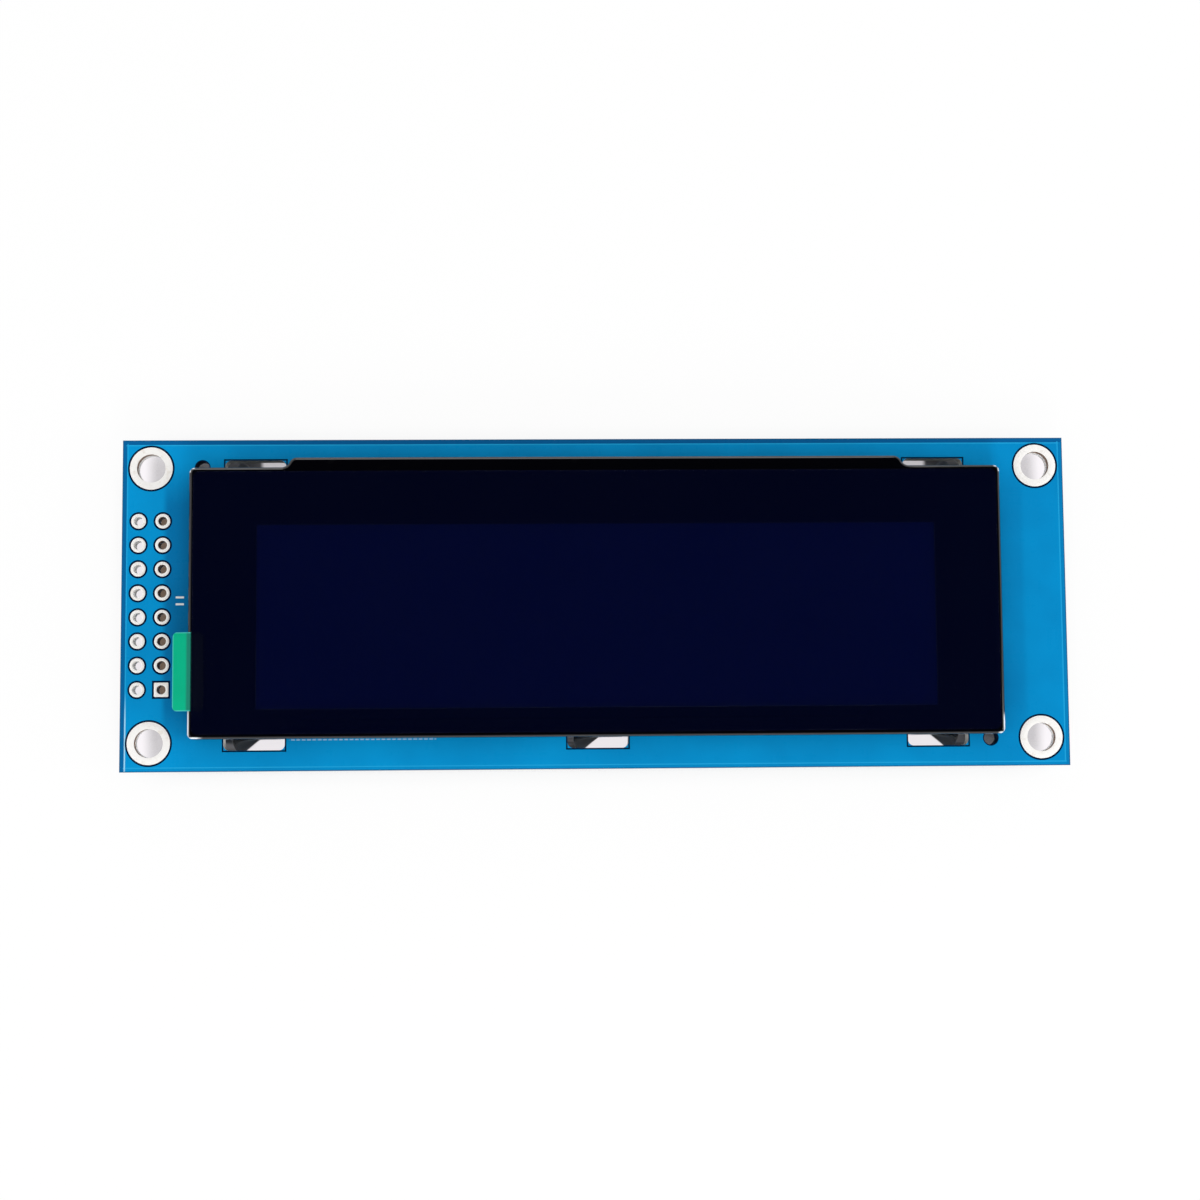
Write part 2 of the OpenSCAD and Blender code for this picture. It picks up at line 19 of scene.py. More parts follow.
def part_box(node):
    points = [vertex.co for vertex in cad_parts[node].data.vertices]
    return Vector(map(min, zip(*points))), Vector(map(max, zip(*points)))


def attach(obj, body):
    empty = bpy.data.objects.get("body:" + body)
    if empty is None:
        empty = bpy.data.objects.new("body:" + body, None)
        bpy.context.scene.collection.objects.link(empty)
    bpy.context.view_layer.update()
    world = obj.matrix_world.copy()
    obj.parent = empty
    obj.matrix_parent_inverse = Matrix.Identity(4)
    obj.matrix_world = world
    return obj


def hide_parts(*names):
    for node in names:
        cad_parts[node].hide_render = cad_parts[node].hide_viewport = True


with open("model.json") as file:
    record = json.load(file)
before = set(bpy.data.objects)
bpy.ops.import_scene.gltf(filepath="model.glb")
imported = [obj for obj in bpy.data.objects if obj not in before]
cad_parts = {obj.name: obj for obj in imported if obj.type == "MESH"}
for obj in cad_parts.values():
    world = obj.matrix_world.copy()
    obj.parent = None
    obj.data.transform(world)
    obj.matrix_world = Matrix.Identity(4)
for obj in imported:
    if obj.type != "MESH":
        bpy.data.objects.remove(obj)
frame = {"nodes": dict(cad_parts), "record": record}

LOG = logging.getLogger("display_module")
MM = 0.001
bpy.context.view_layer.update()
ROOT = "root"
NOWHERE = 100.0  # further away, in millimetres, than anything on the module
LEAD_TURNS = {(0, True): -90.0, (0, False): 90.0, (1, True): 180.0, (1, False): 0.0}

Colour = tuple[float, float, float]
Plan = Callable[[float], np.ndarray]
WHITE: Colour = (1.0, 1.0, 1.0)


def srgb(red: int, green: int, blue: int) -> Colour:
    """Turns a screen colour into the linear one that a shader takes.

    Args:
        red, green, blue: channels from 0 to 255.

    Returns:
        The linear colour, each channel from 0 to 1.
    """
    def linear(channel: int) -> float:
        """One channel from 0 to 255 made linear."""
        share = channel / 255
        return share / 12.92 if share <= 0.04045 else ((share + 0.055) / 1.055) ** 2.4
    return linear(red), linear(green), linear(blue)


# ---------------------------------------------------------------------------- shader maths


class Value:
    """A number or colour worked out in a shader; arithmetic on it adds Math nodes."""

    def __init__(self, graph: "Graph", socket: bpy.types.NodeSocket) -> None:
        """Wraps one output socket of a graph's node."""
        self.graph = graph
        self.socket = socket

    def _math(self, operation: str, *terms: "Value | float") -> "Value":
        """Adds one Math node with these terms, in order."""
        return self.graph.add("ShaderNodeMath", {"operation": operation}, dict(enumerate(terms)))

    def __add__(self, other: "Value | float") -> "Value":
        """Sum."""
        return self._math("ADD", self, other)

    __radd__ = __add__

    def __sub__(self, other: "Value | float") -> "Value":
        """Difference."""
        return self._math("SUBTRACT", self, other)

    def __rsub__(self, other: float) -> "Value":
        """Difference from a plain number."""
        return self._math("SUBTRACT", other, self)

    def __mul__(self, other: "Value | float") -> "Value":
        """Product."""
        return self._math("MULTIPLY", self, other)

    __rmul__ = __mul__

    def __abs__(self) -> "Value":
        """Size without sign."""
        return self._math("ABSOLUTE", self)

    def __lt__(self, other: "Value | float") -> "Value":
        """1 where this is below the other, else 0."""
        return self._math("LESS_THAN", self, other)

    def __gt__(self, other: "Value | float") -> "Value":
        """1 where this is above the other, else 0."""
        return self._math("GREATER_THAN", self, other)

    def least(self, other: "Value | float") -> "Value":
        """The smaller of the two."""
        return self._math("MINIMUM", self, other)

    def most(self, other: "Value | float") -> "Value":
        """The larger of the two."""
        return self._math("MAXIMUM", self, other)

    def fraction(self) -> "Value":
        """What is left above the next whole number below."""
        return self._math("FRACT", self)

    def root(self) -> "Value":
        """Square root."""
        return self._math("SQRT", self)

    def step(self, low: "Value | float", high: "Value | float") -> "Value":
        """Rises smoothly from 0 at low to 1 at high, or falls where low is the larger.

        Args:
            low: where the result is 0.
            high: where the result is 1.

        Returns:
            The smooth step.
        """
        values = {"Value": self, "From Min": low, "From Max": high}
        return self.graph.add("ShaderNodeMapRange", {"interpolation_type": "SMOOTHSTEP"}, values)

    def band(self, low: float, high: float, soft: float) -> "Value":
        """1 between low and high, falling to 0 over soft at each side.

        Args:
            low: lower edge of the band.
            high: upper edge of the band.
            soft: width of each edge's fall.

        Returns:
            The band's mask.
        """
        rise = self.step(low - soft / 2, low + soft / 2)
        return rise * self.step(high + soft / 2, high - soft / 2)


class Graph:
    """The node tree of one material or of the world."""

    def __init__(self, owner: bpy.types.Material | bpy.types.World) -> None:
        """Empties the owner's tree and keeps it ready for nodes.

        Args:
            owner: the material or world.
        """
        owner.use_nodes = True
        self.tree = owner.node_tree
        self.tree.nodes.clear()

    def add(self, kind: str, settings: dict | None = None, values: dict | None = None,
            output: int | str = 0) -> Value:
        """Adds a node.

        Args:
            kind: the node's type name.
            settings: the node's properties, which are set before anything else.
            values: numbers, colours or links for its sockets, by name or index.
            output: the output that is handed back.

        Returns:
            That output.
        """
        node = self.tree.nodes.new(kind)
        for key, setting in (settings or {}).items():
            setattr(node, key, setting)
        for key, value in (values or {}).items():
            self.feed(node.inputs[key], value)
        return Value(self, node.outputs[output] if node.outputs else None)

    def feed(self, socket: bpy.types.NodeSocket, value: "Value | float | Colour") -> None:
        """Links or sets one input socket.

        Args:
            socket: the input.
            value: what goes into it; a colour gets its fourth channel here.
        """
        if isinstance(value, Value):
            self.tree.links.new(value.socket, socket)
        elif isinstance(value, tuple) and len(value) == 3 and socket.type == "RGBA":
            socket.default_value = (*value, 1.0)
        else:
            socket.default_value = value

    def axes(self, vector: Value) -> tuple[Value, ...]:
        """The x, y and z of a vector."""
        split = self.add("ShaderNodeSeparateXYZ", values={0: vector})
        return tuple(Value(self, output) for output in split.socket.node.outputs)

    def place(self) -> tuple[Value, ...]:
        """The point's own x, y and z in millimetres."""
        coordinates = self.add("ShaderNodeTexCoord", output="Object")
        return tuple(axis * (1 / MM) for axis in self.axes(coordinates))

    def ray(self, kind: str) -> Value:
        """1 for a ray of this kind, such as Camera, else 0."""
        return self.add("ShaderNodeLightPath", output=f"Is {kind} Ray")

    def noise(self, per_mm: float, detail: float = 2.0, stretch: Colour = (1, 1, 1)) -> Value:
        """Noise between 0 and 1 on the object's own coordinates.

        Args:
            per_mm: lumps to a millimetre.
            detail: how many finer layers it has.
            stretch: factors on the coordinates, to draw the lumps out.

        Returns:
            The noise.
        """
        coordinates = self.add("ShaderNodeTexCoord", output="Object")
        mapped = self.add("ShaderNodeMapping", values={"Vector": coordinates, "Scale": stretch})
        return self.add("ShaderNodeTexNoise", None,
                        {"Vector": mapped, "Scale": per_mm / MM, "Detail": detail})

    def mix(self, share: Value | float, first: Value | Colour, second: Value | Colour) -> Value:
        """Blends two colours.

        Args:
            share: 0 gives the first, 1 the second.
            first, second: the colours.

        Returns:
            The blended colour.
        """
        return self.add("ShaderNodeMix", {"data_type": "RGBA"}, {0: share, 6: first, 7: second}, 2)

    def bump(self, height: Value, strength: float, depth_mm: float,
             below: Value | None = None) -> Value:
        """A normal tilted by a height.

        Args:
            height: the height, where 1 stands depth_mm proud.
            strength: how much of the tilt shows.
            depth_mm: the height's scale.
            below: a normal that this one is laid over.

        Returns:
            The normal.
        """
        values = {"Height": height, "Strength": strength, "Distance": depth_mm * MM}
        if below is not None:
            values["Normal"] = below
        return self.add("ShaderNodeBump", None, values)

    def glow(self, colour: Value | Colour, strength: Value | float) -> Value:
        """Adds an Emission shader."""
        return self.add("ShaderNodeEmission", None, {"Color": colour, "Strength": strength})

    def surface(self, **values: Value | float | Colour) -> Value:
        """Adds a Principled shader; underscores in the names stand for spaces."""
        named = {key.replace("_", " "): value for key, value in values.items()}
        return self.add("ShaderNodeBsdfPrincipled", None, named)

    def output(self, shader: Value, kind: str = "ShaderNodeOutputMaterial") -> None:
        """Ends the tree with this shader."""
        self.add(kind, None, {"Surface": shader})


# ---------------------------------------------------------------------------- finishes


@dataclass(frozen=True)
class Finish:
    """A material that is made once and then shared."""

    name: str

    def material(self) -> bpy.types.Material:
        """Hands back the material, making it the first time; its name keeps off the slots'.

        Returns:
            The Blender material.
        """
        name = f"{self.name}_looks"
        made = bpy.data.materials.get(name)
        if made is None:
            made = bpy.data.materials.new(name)
            graph = Graph(made)
            graph.output(self.shader(graph))
        return made

    def shader(self, graph: Graph) -> Value:
        """Builds the surface; each finish has its own."""
        raise NotImplementedError


@dataclass(frozen=True)
class PlainFinish(Finish):
    """Moulded, sintered or printed stuff: one colour with a little drift and a fine grain."""

    colour: Colour
    roughness: float = 0.5
    metallic: float = 0.0
    drift: float = 0.12
    lumps_per_mm: float = 3.0
    grain: float = 0.15
    coat: float = 0.0
    grain_finer: float = 6.0
    grain_mm: float = 0.02
    dulling: float = 0.12

    def shader(self, graph: Graph) -> Value:
        """Colour and roughness drift with a coarse noise, and a fine one makes the grain.

        Args:
            graph: the material's tree.

        Returns:
            The surface.
        """
        coarse = graph.noise(self.lumps_per_mm, 3)
        fine = graph.noise(self.lumps_per_mm * self.grain_finer)
        darker = tuple(channel * (1 - self.drift) for channel in self.colour)
        lighter = tuple(min(1.0, channel * (1 + self.drift)) for channel in self.colour)
        return graph.surface(
            Base_Color=graph.mix(coarse, darker, lighter),
            Roughness=(fine - 0.5) * self.dulling + self.roughness,
            Metallic=self.metallic,
            Coat_Weight=self.coat,
            Normal=graph.bump(fine, self.grain, self.grain_mm))


@dataclass(frozen=True)
class TinnedCopper(Finish):
    """Bright tin over copper: a soft-edged mirror with slow waves and a faint warm cast."""

    colour: Colour = srgb(254, 252, 249)
    stain: Colour = srgb(232, 224, 214)
    roughness: float = 0.34
    metallic: float = 0.1
    patches_per_mm: float = 1.6
    patch_edge: tuple[float, float] = (0.52, 0.75)
    stain_share: float = 0.6
    dulling: float = 0.14
    waves_per_mm: float = 2.2
    wave_strength: float = 0.25
    wave_mm: float = 0.05

    def shader(self, graph: Graph) -> Value:
        """The stain gathers in patches, and the waves of the tin are a bump.

        Args:
            graph: the material's tree.

        Returns:
            The surface.
        """
        patches = graph.noise(self.patches_per_mm, 3).step(*self.patch_edge)
        waves = graph.noise(self.waves_per_mm)
        return graph.surface(
            Base_Color=graph.mix(patches * self.stain_share, self.colour, self.stain),
            Roughness=patches * self.dulling + self.roughness,
            Metallic=self.metallic,
            Normal=graph.bump(waves, self.wave_strength, self.wave_mm))


@dataclass(frozen=True)
class BlackPaint(Finish):
    """Satin black paint on formed steel, with painted highlights: near white stretches on the
    corners' bends, in place of the light that the bends catch.

    The highlights' lengths are three numbers each: what every corner has, what a lower corner
    adds, and what the lower left one adds to that.
    """

    half: tuple[float, float]
    face: float
    colour: Colour = srgb(1, 1, 4)
    thin: Colour = srgb(6, 6, 9)
    # steel: near white, the colour of the painted highlights on the corners' bends
    steel: Colour = srgb(232, 238, 242)
    roughness: float = 0.13
    thin_dulling: float = 0.08
    bend_glint_dulling: float = 0.2
    bend_glint_metallic: float = 0.05
    peel_per_mm: float = 2.5
    peel_strength: float = 0.06
    peel_mm: float = 0.01
    spots_per_mm: float = 0.7
    spot_edge: tuple[float, float] = (0.60, 0.78)
    spot_share: float = 0.6
    bend_glint_band: tuple[float, float] = (0.05, 0.2)
    bend_glint_soft: float = 0.08
    bend_glint_depth: float = 0.45
    bend_glint_up_sides: tuple[float, float, float] = (0.75, 1.6, 1.2)
    bend_glint_along: tuple[float, float, float] = (0.7, 0.1, 0.8)
    side_end: float = 0.7
    edge_end: float = 0.6
    ragged_per_mm: float = 1.4
    ragged_mm: float = 0.5

    def shader(self, graph: Graph) -> Value:
        """Fine orange peel and thin spots in the paint, and the painted highlights on the bends.

        Args:
            graph: the material's tree.

        Returns:
            The surface.
        """
        peel = graph.noise(self.peel_per_mm)
        spots = graph.noise(self.spots_per_mm, 4).step(*self.spot_edge)
        # painted highlights: near white stretches on the corners' bends, for the light they catch
        glints = self._bend_glints(graph)
        paint = graph.mix(spots * self.spot_share, self.colour, self.thin)
        return graph.surface(
            Base_Color=graph.mix(glints, paint, self.steel),
            Roughness=spots * self.thin_dulling + glints * self.bend_glint_dulling + self.roughness,
            Metallic=glints * self.bend_glint_metallic,
            Normal=graph.bump(peel, self.peel_strength, self.peel_mm))

    def _bend_glints(self, graph: Graph) -> Value:
        """Finds where highlights are painted on the bends near the corners, each with a ragged end.

        Args:
            graph: the material's tree.

        Returns:
            1 where a highlight is painted, else 0.
        """
        x, y, z = graph.place()
        ragged = (graph.noise(self.ragged_per_mm, 3) - 0.5) * self.ragged_mm
        in_x, in_y = self.half[0] - abs(x), self.half[1] - abs(y)
        up_side = self._length(x, y, *self.bend_glint_up_sides)
        along = self._length(x, y, *self.bend_glint_along)
        side = in_x.band(*self.bend_glint_band, self.bend_glint_soft)
        side = side * (in_y - ragged).step(up_side, up_side * self.side_end)
        edge = in_y.band(*self.bend_glint_band, self.bend_glint_soft)
        edge = edge * (in_x - ragged).step(along, along * self.edge_end)
        return side.most(edge) * (z > self.face - self.bend_glint_depth)

    @staticmethod
    def _length(x: Value, y: Value, every: float, lower: float, left: float) -> Value:
        """How far from its corner the painted highlight runs."""
        return (y < 0) * ((x < 0) * left + lower) + every


@dataclass(frozen=True)
class DarkGlassFilm(Finish):
    """The polarizer: deep navy, smooth, with a slight drift in its depth."""

    colour: Colour = srgb(0, 6, 66)
    deep: Colour = srgb(0, 5, 58)
    clouds_per_mm: float = 0.05
    waves_per_mm: float = 0.4
    roughness: float = 0.12
    dulling: float = 0.04
    specular: float = 0.25

    def shader(self, graph: Graph) -> Value:
        """Two near colours mixed by a slow noise under a smooth surface.

        Args:
            graph: the material's tree.

        Returns:
            The surface.
        """
        return graph.surface(
            Base_Color=graph.mix(graph.noise(self.clouds_per_mm), self.deep, self.colour),
            Roughness=graph.noise(self.waves_per_mm) * self.dulling + self.roughness,
            Specular_IOR_Level=self.specular)


@dataclass(frozen=True)
class CutFilm(Finish):
    """Base of the films: they are paler and denser near their cut edges, which gather light."""

    half: tuple[float, float]
    centre: tuple[float, float]
    rim_width: float

    def _edge(self, x: Value, y: Value) -> Value:
        """1 at the film's outline, falling to 0 over the rim's width."""
        inward_x = self.half[0] - abs(x - self.centre[0])
        return inward_x.least(self.half[1] - abs(y - self.centre[1])).step(self.rim_width, 0.0)


@dataclass(frozen=True)
class ClearFilm(CutFilm):
    """The clear film over the display, which lets most of what lies behind it show."""

    colour: Colour = srgb(0, 5, 38)
    rim: Colour = srgb(6, 10, 44)
    alpha: float = 0.35
    rim_alpha: float = 0.5
    waves_per_mm: float = 0.12
    roughness: float = 0.12
    dulling: float = 0.05
    specular: float = 0.22

    def shader(self, graph: Graph) -> Value:
        """A thin tint with slow waves in its gloss, and the rim.

        Args:
            graph: the material's tree.

        Returns:
            The surface.
        """
        x, y, _ = graph.place()
        edge = self._edge(x, y)
        waves = graph.noise(self.waves_per_mm, 3)
        return graph.surface(
            Base_Color=graph.mix(edge, self.colour, self.rim),
            Roughness=waves * self.dulling + self.roughness,
            Alpha=edge * (self.rim_alpha - self.alpha) + self.alpha,
            Specular_IOR_Level=self.specular)


@dataclass(frozen=True)
class DyedFilm(CutFilm):
    """A green plastic film: bright over the board, painted shade where it lies on black."""

    black_from: float
    colour: Colour = srgb(0, 182, 136)
    cloud: Colour = srgb(0, 168, 126)
    rim: Colour = srgb(72, 196, 190)
    # painted shade where the black bezel lies behind the film
    shade_on_bend: Colour = srgb(30, 128, 106)
    shade_on_black: Colour = srgb(1, 5, 22)
    rim_share: float = 0.9
    bend: tuple[float, float] = (0.5, 0.2)
    black_soft: float = 0.2
    clouds_per_mm: float = 0.35
    waves_per_mm: float = 0.5
    roughness: float = 0.2
    dulling: float = 0.08
    alpha: float = 0.97
    alpha_drop: float = 0.5
    specular: float = 0.2

    def shader(self, graph: Graph) -> Value:
        """Clouded dye with its rim, with painted shade: darker over the bezel's bend, and black
        past black_from.

        Args:
            graph: the material's tree.

        Returns:
            The surface.
        """
        x, y, _ = graph.place()
        # painted shade: darker over the bend, nearly black past black_from
        dark = x.step(self.black_from, self.black_from + self.black_soft)
        bend = x.step(self.black_from - self.bend[0], self.black_from - self.bend[1])
        lit = graph.mix(graph.noise(self.clouds_per_mm), self.colour, self.cloud)
        lit = graph.mix(bend, lit, self.shade_on_bend)
        lit = graph.mix(self._edge(x, y) * self.rim_share, lit, self.rim)
        return graph.surface(
            Base_Color=graph.mix(dark, lit, self.shade_on_black),
            Roughness=graph.noise(self.waves_per_mm) * self.dulling + self.roughness,
            Alpha=self.alpha - dark * self.alpha_drop,
            Specular_IOR_Level=self.specular)


@dataclass(frozen=True)
class PanelGlass(Finish):
    """Thin clear glass, a little green where it is seen edge on."""

    colour: Colour = srgb(196, 214, 208)
    cloud: Colour = srgb(180, 204, 198)
    clouds_per_mm: float = 0.2
    waves_per_mm: float = 0.8
    roughness: float = 0.05
    dulling: float = 0.06
    alpha: float = 0.45

    def shader(self, graph: Graph) -> Value:
        """A smooth see-through surface with a faint drift in its roughness.

        Args:
            graph: the material's tree.

        Returns:
            The surface.
        """
        return graph.surface(
            Base_Color=graph.mix(graph.noise(self.clouds_per_mm), self.colour, self.cloud),
            Roughness=graph.noise(self.waves_per_mm) * self.dulling + self.roughness,
            Alpha=self.alpha)


@dataclass(frozen=True)
class HoleGrid:
    """The header's holes as the mask sees them."""

    x: float
    pitch: float
    rows: int
    pad_r: float
    pin_one_half: float


@dataclass(frozen=True)
class PrintMarks:
    """The white print: a line of dashes under the bezel's lower edge, and two plain bars."""

    dashes_x: tuple[float, float] = (-32.3, -17.0)
    dashes_per_mm: float = 1.8
    dash: tuple[float, float] = (0.15, 0.85)
    dashes_out: tuple[float, float] = (-0.14, -0.04)
    dashes_share: float = 0.4
    bars_out: float = 1.37
    bar_half: tuple[float, float] = (0.43, 0.1)
    bars_y: float = 0.45
    bars_apart: float = 0.36
    bar_soft: float = 0.05
    dash_soft: tuple[float, float, float] = (0.1, 0.2, 0.03)


@dataclass(frozen=True)
class SolderMask(Finish):
    """Blue solder mask over a copper pour, with its clearances, white print and bare laminate.

    Every mark is a distance worked out from the point's own x and y: the pour stops short of
    the board's edges, a dark ring of bare laminate runs round each pad and slot, and the print
    is a few plain bars. Numbers for the four edges stand in the order top, left, bottom, right.
    """

    half: tuple[float, float]
    levels: tuple[float, float]
    mounts: tuple[float, float]
    mount_pad_r: float
    header: HoleGrid
    slot_x: float
    slot_y: float
    slot_half: tuple[float, float]
    tooling: tuple[float, float]
    tooling_r: float
    bezel_half: tuple[float, float]
    marks: PrintMarks = PrintMarks()
    pour: Colour = srgb(1, 151, 214)
    thin: Colour = srgb(1, 114, 172)
    bare: Colour = srgb(4, 92, 150)
    # line, glint: painted highlights on the pour's edge, the glint low on the left
    line: Colour = srgb(40, 170, 220)
    glint: Colour = srgb(190, 232, 246)
    edge: Colour = srgb(18, 88, 130)
    # gap: bare laminate of the clearances, also painted shade on the tooling holes' walls
    gap_and_wall_shade: Colour = srgb(0, 22, 54)
    print_white: Colour = srgb(244, 246, 244)
    laminate: Colour = srgb(150, 143, 96)
    weave: Colour = srgb(98, 96, 58)
    # near white on the walls of the holes and slots inside the board
    inner_wall_pale: Colour = srgb(236, 234, 228)
    insets: tuple[float, float, float, float] = (0.48, 0.46, 0.36, 0.42)
    bareness: tuple[float, float, float, float] = (1.0, 0.9, 0.15, 0.35)
    inset_soft: float = 0.03
    pour_highlight_band: tuple[float, float] = (0.02, 0.13)
    highlight_soft: float = 0.06
    highlight_share: float = 0.6
    glint_band: tuple[float, float] = (0.46, 0.6)
    glint_ends: tuple[float, float] = (-9.0, -12.5)
    edge_fade: tuple[float, float] = (0.14, 0.04)
    skin: float = 0.01
    ring: float = 0.2
    slot_ring: float = 0.16
    ring_soft: float = 0.05
    tooling_ring: tuple[float, float] = (0.14, 0.08)
    tooling_wall_shade: tuple[float, float] = (0.3, 0.2)
    inner_wall_fade: tuple[float, float] = (0.5, 1.0)
    clouds_per_mm: float = 0.12
    cloud_spread: float = 0.9
    cloud_base: float = 0.32
    zone_width: float = 3.0
    zone_soft: tuple[float, float] = (0.5, 0.4)
    zone_ends: tuple[float, float] = (15.5, 9.5)
    zone_tone: float = 0.2
    zone_left: float = 0.55
    right_from: tuple[float, float] = (-12.0, 1.0)
    right_tone: float = 0.2
    weave_per_mm: float = 1.4
    weave_draw: float = 0.12
    weave_share: float = 0.5
    weave_strength: float = 0.05
    weave_mm: float = 0.02
    relief_strength: float = 0.4
    relief_mm: float = 0.035
    ink_height: float = 0.4
    ink_dulling: float = 0.25
    side_dulling: float = 0.4
    weave_dulling: float = 0.04
    roughness: float = 0.24
    specular: float = 0.05

    def shader(self, graph: Graph) -> Value:
        """Lays the masks over each other: pour with painted highlights at its edge, clearances,
        print, and laminate on the sides.

        Args:
            graph: the material's tree.

        Returns:
            The surface.
        """
        x, y, z = graph.place()
        pour, line, inward = self._pour(x, y)
        gaps = self._gaps(x, y)
        front = z > sum(self.levels) / 2
        ink = self._print(x, y) * front
        side = z.band(self.levels[0] + self.skin, self.levels[1] - self.skin, self.skin)
        draw = self.weave_draw
        weave = (graph.noise(self.weave_per_mm, stretch=(1, draw, 1))
                 + graph.noise(self.weave_per_mm, stretch=(draw, 1, 1)))
        blue = graph.mix(self._mask_tone(graph, x, y, front), self.pour, self.thin)
        blue = graph.mix(pour, self.bare, blue)
        # painted highlight along the pour's edge, then the brighter painted glint low on the left
        blue = graph.mix(line * self.highlight_share, blue, self.line)
        glint = (x + self.half[0]).band(*self.glint_band, self.highlight_soft)
        glint = glint * y.step(*self.glint_ends)
        blue = graph.mix(glint * self.highlight_share, blue, self.glint)
        blue = graph.mix(inward.step(*self.edge_fade), blue, self.edge)
        blue = graph.mix(gaps, blue, self.gap_and_wall_shade)
        face = graph.mix(ink, blue, self.print_white)
        dulling = ink * self.ink_dulling + side * self.side_dulling + weave * self.weave_dulling
        relief = graph.bump(pour * (1 - gaps) + ink * self.ink_height, self.relief_strength,
                            self.relief_mm)
        return graph.surface(
            Base_Color=graph.mix(side, face, self._cut(graph, x, y, inward, weave)),
            Roughness=dulling + self.roughness,
            Specular_IOR_Level=self.specular,
            Normal=graph.bump(weave, self.weave_strength, self.weave_mm, relief))

    def _mask_tone(self, graph: Graph, x: Value, y: Value, front: Value) -> Value:
        """How dark the mask is: in clouds, and on the front darker in a band beside each end of
        the bezel, more so on the left, and towards the right end.

        Args:
            graph: the material's tree.
            x, y: the point.
            front: 1 on the board's front.

        Returns:
            0 where the mask is palest, 1 where it is darkest.
        """
        inner, outer = self.bezel_half[0], self.bezel_half[0] + self.zone_width
        inner_soft, outer_soft = self.zone_soft
        zone = (abs(x).step(outer + outer_soft, outer - outer_soft)
                * abs(x).step(inner - inner_soft, inner + inner_soft))
        zone = zone * ((x < 0) * self.zone_left + self.zone_tone) * abs(y).step(*self.zone_ends)
        right = x.step(*(inner + way for way in self.right_from)) * self.right_tone
        cloudy = (graph.noise(self.clouds_per_mm, 3) - 0.5) * self.cloud_spread + self.cloud_base
        return (cloudy + (right + zone) * front).most(0.0).least(1.0)

    def _cut(self, graph: Graph, x: Value, y: Value, inward: Value, weave: Value) -> Value:
        """The laminate on the board's sides and in its holes, near white on the walls inside the
        board, and darkened by painted shade on the tooling holes' walls.

        Args:
            graph: the material's tree.
            x, y: the point.
            inward: distance from the board's edge.
            weave: the glass cloth's pattern.

        Returns:
            The colour.
        """
        cut = graph.mix(weave * self.weave_share, self.laminate, self.weave)
        cut = graph.mix(inward.step(*self.inner_wall_fade), cut, self.inner_wall_pale)
        # painted shade: the tooling holes' walls take the dark gap colour
        wall = self._tooling(x, y).step(*(self.tooling_r + way for way in self.tooling_wall_shade))
        return graph.mix(wall, cut, self.gap_and_wall_shade)

    def _pour(self, x: Value, y: Value) -> tuple[Value, Value, Value]:
        """Finds where copper lies under the mask.

        The pour stops at its own distance from each edge of the board, and how much the bare
        band beyond it shows differs too.

        Args:
            x, y: the point.

        Returns:
            1 over the pour, 1 on the line at its edge where a highlight is painted, and the
            distance from the board's edge.
        """
        ways = (self.half[1] - y, x + self.half[0], y + self.half[1], self.half[0] - x)
        bare = line = inward = None
        for way, inset, share in zip(ways, self.insets, self.bareness):
            band = way.step(inset + self.inset_soft, inset - self.inset_soft) * share
            edge = way.band(*(inset + out for out in self.pour_highlight_band), self.highlight_soft)
            bare = band if bare is None else bare.most(band)
            line = edge if line is None else line.most(edge)
            inward = way if inward is None else inward.least(way)
        return 1 - bare, line * (inward > min(self.insets)), inward

    def _gaps(self, x: Value, y: Value) -> Value:
        """Finds the rings of bare laminate round pads, slots and tooling holes.

        Args:
            x, y: the point.

        Returns:
            1 in the rings, else 0.
        """
        found = self._ring(self._far(abs(x) - self.mounts[0], abs(y) - self.mounts[1]),
                           self.mount_pad_r)
        found = found.most(self._header_gap(x, y))
        along = abs(abs(x) - self.slot_x).least(abs(x) + (y > 0) * NOWHERE)
        outside = (along - self.slot_half[0]).most(abs(abs(y) - self.slot_y) - self.slot_half[1])
        found = found.most(outside.band(0.0, self.slot_ring, self.ring_soft))
        tool = self._tooling(x, y).step(*(self.tooling_r + way for way in self.tooling_ring))
        return found.most(tool)

    def _ring(self, distance: Value, pad: float) -> Value:
        """1 just outside a pad of this half width or radius."""
        return distance.band(pad - self.ring_soft, pad + self.ring, self.ring_soft)

    def _tooling(self, x: Value, y: Value) -> Value:
        """Distance from the nearer of the two tooling holes.

        Args:
            x, y: the point.

        Returns:
            The distance from the hole's middle.
        """
        first, second = (self._far(x - side * self.tooling[0], y + side * self.tooling[1])
                         for side in (-1, 1))
        return first.least(second)

    def _header_gap(self, x: Value, y: Value) -> Value:
        """The rings round the header's pads, folded onto one hole, with pin 1's square.

        Args:
            x, y: the point.

        Returns:
            1 in the rings, else 0.
        """
        grid = self.header
        u = abs(abs(x - grid.x) - grid.pitch / 2)
        v = abs((y * (1 / grid.pitch) + grid.rows / 2).fraction() - 0.5) * grid.pitch
        zone = (abs(y) < grid.rows * grid.pitch / 2) * (abs(x - grid.x) < grid.pitch)
        low = (1 - grid.rows / 2) * grid.pitch
        first = (y < low) * (x > grid.x)
        square = first * self._ring(u.most(v), grid.pin_one_half)
        return zone * (square + (1 - first) * self._ring(self._far(u, v), grid.pad_r))

